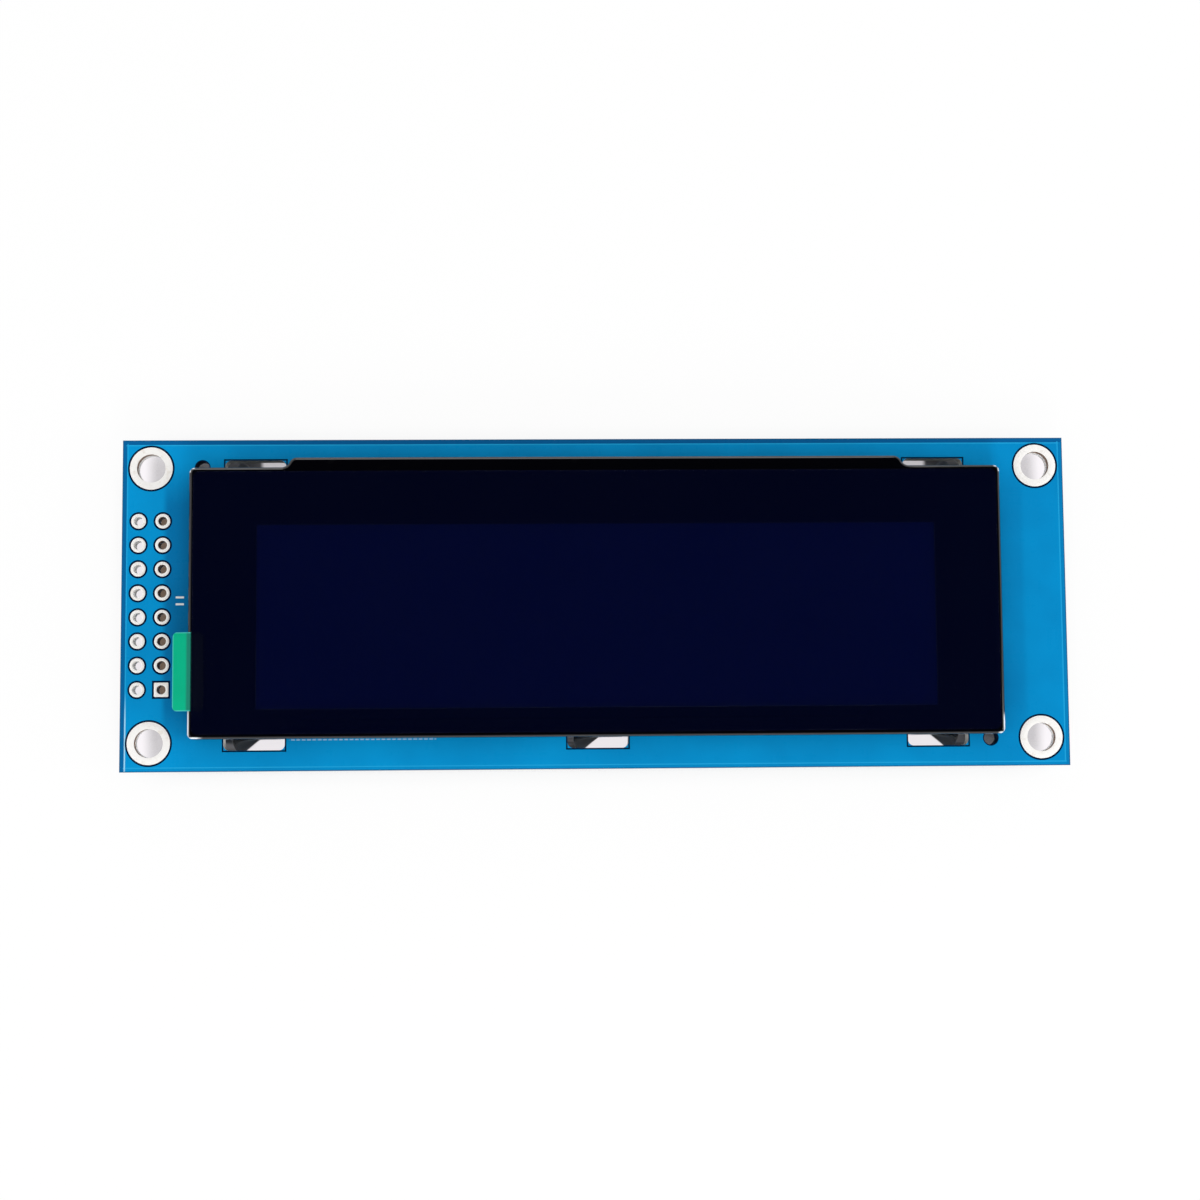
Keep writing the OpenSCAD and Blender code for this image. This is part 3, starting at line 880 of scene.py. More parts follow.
    def _print(self, x: Value, y: Value) -> Value:
        """Draws the white print from the distances of its marks.

        Args:
            x, y: the point.

        Returns:
            1 under full ink, less under the faint dashes.
        """
        marks, soft = self.marks, self.marks.dash_soft
        dashes = ((x * marks.dashes_per_mm).fraction().band(*marks.dash, soft[0])
                  * x.band(*marks.dashes_x, soft[1])
                  * (y + self.bezel_half[1]).band(*marks.dashes_out, soft[2]))
        length, thickness = marks.bar_half
        bar_x = (x + self.bezel_half[0] + marks.bars_out).band(-length, length, marks.bar_soft)
        bar_y = abs(abs(y - marks.bars_y) - marks.bars_apart).band(-1.0, thickness, marks.bar_soft)
        return (dashes * marks.dashes_share).most(bar_x * bar_y)

    @staticmethod
    def _far(u: Value, v: Value) -> Value:
        """Distance from the origin of u and v."""
        return (u * u + v * v).root()


class Stuff(Enum):
    """The finishes that need no size of the module."""

    TIN = TinnedCopper("tinned_copper")
    # a grey strip where each bore meets its dome
    GREY_RIM = PlainFinish("grey_bore_rim", srgb(196, 186, 176), 0.4, drift=0.3, lumps_per_mm=3.0)
    # painted shade: dark brown inside the bores
    SHADED_BORE = PlainFinish("shaded_bore", srgb(128, 98, 76), 0.5, drift=0.35, lumps_per_mm=4.0)
    POLARIZER = DarkGlassFilm("polarizer_navy")
    GLASS = PanelGlass("panel_glass")
    TAPE = PlainFinish("black_tape", srgb(14, 14, 15), 0.55)
    FOAM = PlainFinish("dark_foam", srgb(52, 52, 54), 0.85, grain=0.6)
    RESIN = PlainFinish("seal_resin", srgb(214, 208, 178), 0.4)
    DRYING = PlainFinish("drying_sheet", srgb(240, 240, 236), 0.7)
    FLEX = PlainFinish("amber_film", srgb(186, 128, 40), 0.25, coat=0.4)
    SILICON = PlainFinish("silicon", srgb(96, 98, 108), 0.15, metallic=0.6)
    FERRITE = PlainFinish("ferrite", srgb(66, 66, 68), 0.5, lumps_per_mm=6.0, grain=0.4)
    FILLER = PlainFinish("winding_resin", srgb(104, 104, 106), 0.6, lumps_per_mm=5.0, grain=0.5)
    MOULD = PlainFinish("black_mould", srgb(26, 26, 27), 0.45, lumps_per_mm=8.0, grain=0.35)
    YELLOW_MOULD = PlainFinish("yellow_mould", srgb(226, 168, 62), 0.45, lumps_per_mm=6.0)
    STRIPE = PlainFinish("brown_stripe", srgb(126, 70, 26), 0.5)
    CERAMIC = PlainFinish("tan_ceramic", srgb(176, 142, 98), 0.35, lumps_per_mm=5.0)
    GLAZE = PlainFinish("black_glaze", srgb(22, 22, 24), 0.22, coat=0.5)
    ALUMINA = PlainFinish("white_alumina", srgb(232, 230, 222), 0.4)
    SOLDER = PlainFinish("solder", srgb(206, 206, 204), 0.24, metallic=0.9, lumps_per_mm=2.0)
    LEAD = PlainFinish("tinned_lead", srgb(214, 213, 210), 0.3, metallic=0.9, lumps_per_mm=4.0)
    MARK = PlainFinish("pale_mark", srgb(200, 202, 204), 0.5)

    @property
    def material(self) -> bpy.types.Material:
        """The Blender material of this finish."""
        return self.value.material()


# ---------------------------------------------------------------------------- meshes


@dataclass
class Box:
    """A box in millimetres."""

    low: np.ndarray
    high: np.ndarray

    @property
    def centre(self) -> np.ndarray:
        """Its middle."""
        return (self.low + self.high) / 2

    @property
    def size(self) -> np.ndarray:
        """Its extent along each axis."""
        return self.high - self.low


def node_box(node: str) -> Box:
    """The box of a CAD node, in millimetres."""
    low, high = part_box(node)
    return Box(np.array(low) / MM, np.array(high) / MM)


def solid_boxes(node: str) -> list[Box]:
    """The box of each separate solid of a CAD node, in millimetres.

    Corners at the same place are one point. Each point takes the lowest label among its
    triangles' points until nothing changes, and a label is then a solid.

    Args:
        node: the CAD node's name.

    Returns:
        The boxes, from left to right and then upwards.
    """
    mesh = frame["nodes"][node].data
    mesh.calc_loop_triangles()
    points = np.empty(len(mesh.vertices) * 3, np.float32)
    mesh.vertices.foreach_get("co", points)
    corners = np.empty(len(mesh.loop_triangles) * 3, np.int32)
    mesh.loop_triangles.foreach_get("vertices", corners)
    points = points.reshape(-1, 3).astype(float) / MM
    unique, same = np.unique(np.round(points, 4), axis=0, return_inverse=True)
    triangles = same.reshape(-1)[corners].reshape(-1, 3)
    label = np.arange(len(unique))
    while True:
        lowest = label[triangles].min(axis=1)
        after = label.copy()
        for corner in range(3):
            np.minimum.at(after, triangles[:, corner], lowest)
        if np.array_equal(after, label):
            break
        label = after
    boxes = [Box(unique[label == k].min(axis=0), unique[label == k].max(axis=0))
             for k in np.unique(label)]
    return sorted(boxes, key=lambda box: (round(box.centre[0], 2), round(box.centre[1], 2)))


def arc(centre: Sequence[float], radius: float, start: float, end: float,
        steps: int) -> np.ndarray:
    """Points of an arc: the centre plus the radius times (cosine, sine) of the turning angle.

    Args:
        centre: the arc's centre.
        radius: its radius.
        start, end: angles in degrees.
        steps: how many pieces it has.

    Returns:
        steps + 1 points.
    """
    turn = np.radians(np.linspace(start, end, steps + 1))
    return np.column_stack([centre[0] + radius * np.cos(turn), centre[1] + radius * np.sin(turn)])


def rounded_rectangle(length: float, width: float, radius: float, steps: int = 6) -> Plan:
    """A plan that can be drawn at any inset: four corner arcs whose radius shrinks with it.

    Args:
        length, width: outer size along x and y.
        radius: corner radius at no inset.
        steps: pieces in each corner.

    Returns:
        A function from inset to points, anticlockwise.
    """
    def plan(inset: float) -> np.ndarray:
        """The corners' arcs.

        Args:
            inset: how far the plan is moved inwards.

        Returns:
            The points, anticlockwise.
        """
        x, y = length / 2 - radius, width / 2 - radius
        r = max(radius - inset, 1e-3)
        slip = max(inset - radius, 0.0)
        x, y = x - slip, y - slip
        corners = (((x, -y), -90), ((x, y), 0), ((-x, y), 90), ((-x, -y), 180))
        return np.vstack([arc(c, r, a, a + 90, steps) for c, a in corners])
    return plan


def slab_rings(plan: Plan, z0: float, z1: float, bevel: float, steps: int = 3,
               draft: float = 0.0) -> np.ndarray:
    """Rings of a slab with rounded upper and lower edges.

    Going up, the inset falls along a quarter circle from bevel to 0, stays, and rises again;
    with draft the sides also lean in by that much towards both faces.

    Args:
        plan: the slab's plan by inset.
        z0, z1: its lower and upper face.
        bevel: radius of its edges.
        steps: pieces in each rounded edge.
        draft: how far the sides lean in from the middle to each face.

    Returns:
        An array of rings, each an array of points.
    """
    turn = np.radians(np.linspace(0, 90, steps + 1))
    low = [(draft + bevel * (1 - math.sin(a)), z0 + bevel * (1 - math.cos(a))) for a in turn]
    high = [(inset, z0 + z1 - z) for inset, z in reversed(low)]
    middle = [(0.0, (z0 + z1) / 2)] if draft else []
    rings = []
    for inset, z in [*low, *middle, *high]:
        points = plan(inset)
        rings.append(np.column_stack([points, np.full(len(points), z)]))
    return np.array(rings)


def ribbon(line: np.ndarray, thickness: float) -> np.ndarray:
    """The outline of a bent strip: its centre line moved half the thickness to each side.

    The line moves along its own normal, which is its slope turned by a quarter.

    Args:
        line: points of the centre line, shape (points, 2).
        thickness: the strip's thickness.

    Returns:
        The outline's points, out along one side and back along the other.
    """
    slope = np.gradient(line, axis=0)
    normal = np.column_stack([-slope[:, 1], slope[:, 0]])
    normal *= thickness / 2 / np.linalg.norm(normal, axis=1)[:, None]
    return np.vstack([line - normal, (line + normal)[::-1]])


class Sketch:
    """Gathers surfaces in millimetres and makes one object of them."""

    def __init__(self, name: str) -> None:
        """Starts an empty sketch.

        Args:
            name: its object's name.
        """
        self.name = name
        self.points: list[np.ndarray] = []
        self.faces: list[Sequence[int]] = []
        self.slots: list[int] = []
        self.materials: list[bpy.types.Material] = []
        self.count = 0

    def _slot(self, stuff: bpy.types.Material) -> int:
        """Finds a material's slot.

        Args:
            stuff: the material, which is added the first time it is used.

        Returns:
            The slot's index.
        """
        if stuff not in self.materials:
            self.materials.append(stuff)
        return self.materials.index(stuff)

    def grid(self, points: np.ndarray, stuff: bpy.types.Material | list[bpy.types.Material],
             around_rows: bool = False, around_points: bool = True, caps: bool = False) -> None:
        """Adds a grid of points as quads.

        Args:
            points: rows of points, shape (rows, points, 3); anticlockwise rows going up face out.
            stuff: its material, or one for each strip of quads between two rows.
            around_rows: joins the last row to the first.
            around_points: joins the last point of each row to its first.
            caps: closes the first and last row with a face each.
        """
        rows, across = points.shape[:2]
        index = np.arange(rows * across).reshape(rows, across) + self.count
        if around_rows:
            index = np.vstack([index, index[:1]])
        if around_points:
            index = np.hstack([index, index[:, :1]])
        quads = np.stack([index[:-1, :-1], index[:-1, 1:], index[1:, 1:], index[1:, :-1]], axis=-1)
        faces = quads.reshape(-1, 4).tolist()
        strips = stuff if isinstance(stuff, list) else [stuff] * len(quads)
        slots = [self._slot(strip) for strip in strips for _ in range(quads.shape[1])]
        if caps:
            first = np.arange(across) + self.count
            faces.append(first[::-1].tolist())
            faces.append((first + (rows - 1) * across).tolist())
            slots += [slots[0], slots[-1]]
        self.points.append(points.reshape(-1, 3))
        self.faces.extend(faces)
        self.slots.extend(slots)
        self.count += rows * across

    def slab(self, plan: Plan, z0: float, z1: float, bevel: float, stuff: bpy.types.Material,
             place: "Place | None" = None, draft: float = 0.0) -> None:
        """Adds a slab with rounded edges.

        Args:
            plan: its plan by inset.
            z0, z1: its faces.
            bevel: radius of its edges.
            stuff: its material.
            place: where it goes; by default nowhere else.
            draft: how far its sides lean in.
        """
        rings = slab_rings(plan, z0, z1, bevel, draft=draft)
        self.grid(place.move(rings) if place else rings, stuff, caps=True)

    def build(self, sharp_degrees: float = 32.0) -> bpy.types.Object:
        """Makes the object, with its origin at the module's.

        Args:
            sharp_degrees: edges sharper than this angle stay sharp, and the rest are smooth.

        Returns:
            The object.
        """
        mesh = bpy.data.meshes.new(self.name)
        mesh.from_pydata(np.vstack(self.points) * MM, [], self.faces)
        for material in self.materials:
            mesh.materials.append(material)
        mesh.polygons.foreach_set("material_index", self.slots)
        mesh.polygons.foreach_set("use_smooth", [True] * len(self.faces))
        mesh.set_sharp_from_angle(angle=math.radians(sharp_degrees))
        mesh.update()
        obj = bpy.data.objects.new(self.name, mesh)
        bpy.context.scene.collection.objects.link(obj)
        return obj


@dataclass(frozen=True)
class Place:
    """Where a part stands: a point, a turn about z, and whether it hangs under the board."""

    x: float
    y: float
    z: float
    turn: float = 0.0
    under: bool = False

    def move(self, points: np.ndarray) -> np.ndarray:
        """Turns points about z, turns them over about x if the part hangs, and shifts them.

        Args:
            points: points of a part that stands upright at the origin.

        Returns:
            The points in place.
        """
        a = math.radians(self.turn)
        x = points[..., 0] * math.cos(a) - points[..., 1] * math.sin(a)
        y = points[..., 0] * math.sin(a) + points[..., 1] * math.cos(a)
        z = points[..., 2]
        if self.under:
            y, z = -y, -z
        return np.stack([x + self.x, y + self.y, z + self.z], axis=-1)


# ---------------------------------------------------------------------------- the module


@dataclass
class Levels:
    """Heights and outlines read from the CAD frame, in millimetres."""

    board: Box = field(default_factory=lambda: node_box("board"))
    bezel: Box = field(default_factory=lambda: node_box("bezel"))
    polarizer: Box = field(default_factory=lambda: node_box("polarizer"))
    film: Box = field(default_factory=lambda: node_box("protective_film"))
    tab: Box = field(default_factory=lambda: node_box("pull_tab"))
    board_side: float = 3.35

    @property
    def body_half(self) -> tuple[float, float]:
        """Half length and width of the bezel's body, without its bulge and tabs."""
        return float(self.bezel.high[0]), float(self.board.high[1]) - self.board_side

    @property
    def board_back(self) -> float:
        """Height of the board's back."""
        return self.board.low[2]

    @property
    def board_top(self) -> float:
        """Height of the board's front."""
        return self.board.high[2]

    @property
    def face(self) -> float:
        """Height of the bezel's face."""
        return self.bezel.high[2]


@dataclass
class Part:
    """Base of every sub-assembly: builds its pieces and reports them."""

    levels: Levels

    @staticmethod
    def keep(piece: bpy.types.Object, slot: str, node: str) -> None:
        """Fixes a piece to the module and says what it stands for.

        Args:
            piece: the new piece.
            slot: the record's material slot; not used.
            node: the CAD node it replaces.
        """
        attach(piece, ROOT)
        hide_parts(node)
        LOG.info("%s: %d faces, for %s", piece.name, len(piece.data.polygons), node)

    @staticmethod
    def dress(node: str, material: bpy.types.Material) -> None:
        """Gives a CAD node its finish.

        Args:
            node: the CAD node.
            material: the finish's material.
        """
        mesh = frame["nodes"][node].data
        mesh.materials.clear()
        mesh.materials.append(material)
        LOG.info("%s: dressed in %s", node, material.name)


@dataclass
class Board(Part):
    """The circuit board and its tinned holes."""

    slot_half: tuple[float, float] = (3.2, 1.3)
    tab_inset: float = 6.5
    steel: float = 0.3
    tooling_out: tuple[float, float] = (-0.9, 0.4)
    tooling_r: float = 0.725
    barrel: float = 0.05
    header_hole_r: float = 0.475
    bore_points: int = 5
    bore_end: float = 0.05
    dome_points: int = 15
    dome_foot: float = 0.15
    dome_fullness: float = 0.6
    dome_start: float = 0.06
    dome_stretch: float = 1.08
    sunk: float = 0.001
    square_reach: float = 1.36
    square_from: float = 0.3

    def make(self) -> None:
        """Dresses the board and builds the rings of tin."""
        self.dress("board", self._mask().material())
        self._mount_rings()
        self._header_rings()

    def _mask(self) -> SolderMask:
        """The solder mask, told where everything is.

        Returns:
            The finish.
        """
        board, body = self.levels.board, self.levels.body_half
        mounts, holes = solid_boxes("mount_plating"), solid_boxes("header_plating")
        columns = sorted({round(hole.centre[0], 3) for hole in holes})
        grid = HoleGrid(x=float(np.mean(columns)), pitch=columns[1] - columns[0],
                        rows=len(holes) // 2, pad_r=holes[0].size[0] / 2,
                        pin_one_half=self._pin_one(holes).size[0] / 2)
        return SolderMask(
            "blue_mask", half=(board.high[0], board.high[1]),
            levels=(self.levels.board_back, self.levels.board_top),
            mounts=(abs(mounts[0].centre[0]), abs(mounts[0].centre[1])),
            mount_pad_r=mounts[0].size[0] / 2, header=grid,
            slot_x=body[0] - self.tab_inset, slot_y=body[1] - self.steel / 2,
            slot_half=self.slot_half,
            tooling=(body[0] + self.tooling_out[0], body[1] + self.tooling_out[1]),
            tooling_r=self.tooling_r, bezel_half=body)

    @staticmethod
    def _pin_one(holes: list[Box]) -> Box:
        """The hole of pin 1: lowest in the right-hand column."""
        return max(holes, key=lambda hole: hole.centre[0] * 10 - hole.centre[1])

    def _profile(self, hole_r: float, pad_r: float, box: Box) -> np.ndarray:
        """Section of a tinned hole as a closed loop of (radius, height).

        Up the bore, over a dome whose height is a power of the half sine of the way from bore
        to rim, down the ring's outer edge, back along the barrel, and the same below.

        Args:
            hole_r: radius of the bore.
            pad_r: radius of the ring.
            box: the CAD solid's box, which the section fills.

        Returns:
            The section's points.
        """
        back, top = self.levels.board_back, self.levels.board_top
        low, high = box.low[2], box.high[2]
        bore = np.column_stack([np.full(self.bore_points, hole_r),
                                np.linspace(back + self.bore_end, top - self.bore_end,
                                            self.bore_points)])
        share = np.linspace(0, 1, self.dome_points)
        turn = np.pi * np.clip(share * self.dome_stretch + self.dome_start, 0, 1)
        swell = self.dome_foot + (1 - self.dome_foot) * np.sin(turn) ** self.dome_fullness
        radius = hole_r + (pad_r - hole_r) * share
        over = np.column_stack([radius, top + (high - top) * swell])
        under = np.column_stack([radius, back - (back - low) * swell])[::-1]
        wall = hole_r + self.barrel
        outside = [[pad_r, top - self.sunk], [wall, top - self.sunk],
                   [wall, back + self.sunk], [pad_r, back + self.sunk]]
        return np.vstack([bore, over, outside, under])

    def _ring(self, sketch: Sketch, box: Box, hole_r: float, steps: int, shaded: float) -> None:
        """Turns the section round a hole's axis.

        Args:
            sketch: the rings' sketch.
            box: the CAD solid's box.
            hole_r: radius of the bore.
            steps: pieces in a full turn.
            shaded: share of the bore, from its top, painted dark brown as shade.
        """
        section = self._profile(hole_r, box.size[0] / 2, box)
        turn = np.linspace(0, 2 * np.pi, steps, endpoint=False)
        self._carry(sketch, box, section[:, :1], section, turn, shaded)

    def _carry(self, sketch: Sketch, box: Box, radius: np.ndarray, section: np.ndarray,
               turn: np.ndarray, shaded: float) -> None:
        """Carries a section's heights round an axis, at these radii, and adds the surface.

        Args:
            sketch: the rings' sketch.
            box: the CAD solid's box, whose middle is the axis.
            radius: the radius of each point, or of each point at each turn.
            section: the section's points.
            turn: the turning angles.
            shaded: share of the bore, from its top, painted dark brown as shade.
        """
        height = np.broadcast_to(section[:, 1:], (len(section), len(turn)))
        points = np.stack([box.centre[0] + radius * np.cos(turn),
                           box.centre[1] + radius * np.sin(turn), height], axis=-1)
        sketch.grid(points[::-1], self._strips(len(section), shaded), around_rows=True)

    def _strips(self, rows: int, shaded: float) -> list[bpy.types.Material]:
        """A finish for each strip of the turned section, in the order of its rows turned over.

        The strip where the bore meets the dome is a grey rim, and the shaded share below it is
        painted dark brown as shade.

        Args:
            rows: how many points the section has, the first of them up the bore.
            shaded: share of the bore, from its top, painted dark brown as shade.

        Returns:
            One material for each strip.
        """
        rim_strip = self.bore_points - 1
        count = round(shaded * rim_strip)
        strips = [Stuff.TIN.material] * rows
        strips[rim_strip - count:rim_strip] = [Stuff.SHADED_BORE.material] * count
        strips[rim_strip] = Stuff.GREY_RIM.material
        return [*strips[-2::-1], strips[-1]]

    def _mount_rings(self) -> None:
        """The four tinned mounting holes."""
        record = frame["record"]["mounts"]
        hole_r = next(m["dims"]["hole_r_mm"] for m in record if m["name"] == "corner_holes")
        sketch = Sketch("mount_rings")
        for box in solid_boxes("mount_plating"):
            # painted shade on the upper half of each mounting hole's bore
            self._ring(sketch, box, hole_r, 96, 0.5)
        self.keep(sketch.build(), "tinned_copper", "mount_plating")

    def _header_rings(self) -> None:
        """The header's sixteen tinned holes; pin 1 also has its square pads."""
        sketch = Sketch("header_rings")
        holes = solid_boxes("header_plating")
        first = self._pin_one(holes)
        for box in holes:
            if box is not first:
                # painted shade on the bores of the header's inner column
                inner_column = box.centre[0] > first.centre[0] - 1
                self._ring(sketch, box, self.header_hole_r, 40, float(inner_column))
        self._square_ring(sketch, first)
        self.keep(sketch.build(), "tinned_copper", "header_plating")

    def _square_ring(self, sketch: Sketch, box: Box) -> None:
        """Pin 1: the section's outer radius grows with the turn so that it draws a square.

        The growth is one over the larger of the turn's cosine and sine, cut off a little short
        of the corners, and it fades to nothing towards the bore.

        Args:
            sketch: the rings' sketch.
            box: the CAD solid's box.
        """
        steps, pad_r = 64, box.size[0] / 2
        turn = np.linspace(0, 2 * np.pi, steps, endpoint=False) + np.pi / steps
        reach = 1 / np.maximum(np.abs(np.cos(turn)), np.abs(np.sin(turn)))
        reach = np.minimum(reach, self.square_reach)
        section = self._profile(self.header_hole_r, pad_r, box)
        wide = (section[:, :1] - self.header_hole_r) / (pad_r - self.header_hole_r)
        wide = np.where(wide < self.square_from, 0.0, wide)
        # painted shade on the whole bore of pin 1
        self._carry(sketch, box, section[:, :1] * (1 + wide * (reach - 1)), section, turn, 1.0)


@dataclass
class Bezel(Part):
    """The formed steel frame with its window, bulge and twisted tabs."""

    steel: float = 0.3
    bend_r: float = 0.5
    corner_r: float = 0.65
    ramp: float = 1.65
    bulge: float = 1.025
    bulge_half: float = 31.3
    polarizer_lap: float = 1.0
    tab_w: float = 5.2
    tab_inset: float = 6.5
    tab_turn: float = 40.0
    tab_up: float = 1.5
    tab_tip_r: float = 0.4
    tab_edge_r: float = 0.07
    tab_end: float = 0.04
    tip_heights: tuple[float, ...] = (0.0, 0.03, 0.08, 0.15, 0.25, 0.4)
    burr: float = 0.05

    def make(self) -> None:
        """Builds the shell and its five tabs as one piece."""
        sketch = Sketch("bezel_shell")
        self._shell(sketch)
        x, y = self.half[0] - self.tab_inset, self.half[1] - self.steel / 2
        for tab_x, side in ((-x, -1), (0.0, -1), (x, -1), (-x, 1), (x, 1)):
            way = side if tab_x > 0 else -side
            self._tab(sketch, tab_x, side * y, way * self.tab_turn)
        self.keep(sketch.build(40), "bezel_paint", "bezel")

    @property
    def half(self) -> tuple[float, float]:
        """Half length and width of the body, without the bulge."""
        return self.levels.body_half

    def _paint(self) -> bpy.types.Material:
        """The bezel's paint, told where its bends are."""
        return BlackPaint("black_paint", self.half, float(self.levels.face)).material()

    def _plan(self, inset: float) -> np.ndarray:
        """The bezel's plan moved inwards: corner arcs, and an S-curve of two arcs at each ramp.

        Each S-curve's arcs turn by twice the arctangent of its rise over its run, and the
        straight stretches are filled with evenly spaced points.

        Args:
            inset: how far the plan is moved inwards.

        Returns:
            The points, anticlockwise from the lower right corner.
        """
        half_l, half_w = self.half
        turn = 2 * math.degrees(math.atan(self.bulge / self.ramp))
        ramp_r = self.ramp / (2 * math.sin(math.radians(turn)))
        x, y, r = half_l - self.corner_r, half_w - self.corner_r, self.corner_r - inset
        foot = (self.bulge_half + self.ramp, half_w + ramp_r)
        crown = (self.bulge_half, half_w + self.bulge - ramp_r)
        right = [arc((x, -y), r, -90, 0, 12), arc((x, y), r, 0, 90, 12),
                 np.vstack([arc(foot, ramp_r + inset, -90, -90 - turn, 10),
                            arc(crown, ramp_r - inset, 90 - turn, 90, 10)[1:]])]
        left = [part[::-1] * (-1, 1) for part in reversed(right)]
        parts = [*right, *left]
        out: list[np.ndarray] = []
        for part, after in zip(parts, [*parts[1:], parts[0]]):
            out.append(part)
            share = np.linspace(0, 1, 12)[1:-1, None]
            out.append(part[-1] + (after[0] - part[-1]) * share)
        return np.vstack(out)

    def _window(self, outset: float) -> np.ndarray:
        """The window's edge, point for point with the plan.

        Each point of the plan is scaled onto the window's rectangle along a line from the
        middle, so that the larger of its two scaled coordinates is exactly one.

        Args:
            outset: how far the rectangle is grown.

        Returns:
            The points on the window's edge.
        """
        box, lap = self.levels.polarizer, self.polarizer_lap
        scaled = self._plan(0) / self.half
        scaled /= np.abs(scaled).max(axis=1)[:, None]
        return box.centre[:2] + scaled * (box.size[:2] / 2 - lap + outset)

    def _shell(self, sketch: Sketch) -> None:
        """Carries the sheet's section round the plan, as one closed surface.

        Going up, the section is the skirt, a quarter arc to the face, a smaller one over the
        window's burr, the face's underside, and a quarter arc back down inside the skirt.

        Args:
            sketch: the bezel's sketch.
        """
        z0, z1, t, r = self.levels.board_top, self.levels.face, self.steel, self.bend_r
        turn = np.radians(np.linspace(0, 90, 9))
        inner, b = r - t, self.burr
        rows = [(self._plan(0), z) for z in np.linspace(z0, z1 - r, 4)]
        rows += [(self._plan(r * (1 - math.cos(a))), z1 - r + r * math.sin(a)) for a in turn[1:]]
        rows += [(self._window(b * (1 - math.sin(a))), z1 - b * (1 - math.cos(a)))
                 for a in turn[::2]]
        rows += [(self._window(0), z1 - t)]
        rows += [(self._plan(t + inner * (1 - math.cos(a))), z1 - t - inner * (1 - math.sin(a)))
                 for a in turn[::-2]]
        rows += [(self._plan(t), z0)]
        points = np.array([np.column_stack([plan, np.full(len(plan), z)]) for plan, z in rows])
        sketch.grid(points, self._paint(), around_rows=True)

    def _tab(self, sketch: Sketch, x: float, y: float, turn: float) -> None:
        """One tab: its section stays straight through the slot, then turns by a smooth step.

        The turn grows as 3s² - 2s³ of the share s of the way from the board's back to the tip,
        and the tip's corners are quarter circles.

        Args:
            sketch: the bezel's sketch.
            x, y: the tab's middle.
            turn: its twist at the end, in degrees.
        """
        back, top = self.levels.board_back, self.levels.board_top
        heights = np.concatenate([self.tip_heights, np.linspace(0.5, back, 20),
                                  [top, top + self.tab_up]])
        rings = []
        for z in heights:
            share = np.clip((back - z) / back, 0, 1)
            turned = turn * share * share * (3 - 2 * share)
            below = 1 - min(z / self.tab_tip_r, 1)
            width = self.tab_w - 2 * self.tab_tip_r * (1 - math.sqrt(1 - below ** 2))
            plan = rounded_rectangle(width, self.steel, self.tab_edge_r, 3)
            ring = plan(self.tab_end if z == 0 else 0.0)
            ring = np.column_stack([ring, np.zeros(len(ring))])
            rings.append(Place(x, y, z, turned).move(ring))
        sketch.grid(np.array(rings), self._paint(), caps=True)


@dataclass
class Panel(Part):
    """The glass cell with its films and tapes."""

    bend_shows: float = 0.3
    film_r: float = 0.6
    film_edge_r: float = 0.03
    film_rim: float = 0.12
    tab_r: float = 0.5
    tab_rim: float = 0.17
    tab_free: float = 1.9
    tab_droop: float = 0.3

    def make(self) -> None:
        """Dresses the cell's pieces and builds the two films on top."""
        for node, stuff in (("polarizer", Stuff.POLARIZER), ("front_glass", Stuff.GLASS),
                            ("rear_glass", Stuff.GLASS), ("edge_seal", Stuff.RESIN),
                            ("desiccant_sheet", Stuff.DRYING), ("bezel_tape", Stuff.TAPE),
                            ("panel_tape", Stuff.FOAM), ("driver_film", Stuff.FLEX),
                            ("driver_chip", Stuff.SILICON), ("film_pads", Stuff.TIN)):
            self.dress(node, stuff.material)
        self._cover_film()
        self._pull_tab()

    def _cover_film(self) -> None:
        """The clear film: a thin slab with rounded corners."""
        box = self.levels.film
        finish = ClearFilm("clear_film", (box.high[0], box.high[1]), (0.0, 0.0), self.film_rim)
        sketch = Sketch("cover_film")
        sketch.slab(rounded_rectangle(box.size[0], box.size[1], self.film_r), box.low[2],
                    box.high[2], self.film_edge_r, finish.material())
        self.keep(sketch.build(), "clear_film", "protective_film")

    def _pull_tab(self) -> None:
        """The green tab: a thin slab whose free end droops with the square of its reach."""
        box = self.levels.tab
        length, width = box.size[:2]
        x, y = box.centre[:2]
        rests_from = self.levels.bezel.low[0] + self.bend_shows
        finish = DyedFilm("green_film", (length / 2, width / 2), (x, y), self.tab_rim, rests_from)
        plan = rounded_rectangle(length, width, self.tab_r, 8)
        rings = slab_rings(plan, box.low[2], box.high[2], self.film_edge_r)
        rings[..., :2] += (x, y)
        free = np.clip((rests_from - rings[..., 0]) / self.tab_free, 0, 1)
        rings[..., 2] -= self.tab_droop * free ** 2
        sketch = Sketch("green_tab")
        sketch.grid(rings, finish.material(), caps=True)
        self.keep(sketch.build(), "green_film", "pull_tab")


@dataclass(frozen=True)
class ChipShape:
    """How a chip part of any size is made up: its core, glaze, end caps and fillets.

    Names in "short" say how much shorter and narrower than the chip a piece is.
    """

    core_short: tuple[float, float] = (0.1, 0.04)
    core_top: float = 0.03
    core_bevel: float = 0.02
    glaze_over: float = 0.1
    glaze_short: float = 0.1
    glaze_z: tuple[float, float] = (0.05, 0.012)
    corner_r: float = 0.04
    cap: float = 0.38
    cap_r: float = 0.06
    cap_bevel: float = 0.04
    fillet_rise: float = 0.6
    fillet_run: float = 0.24
    fillet_sunk: float = 0.03
    fillet_least: float = 0.05


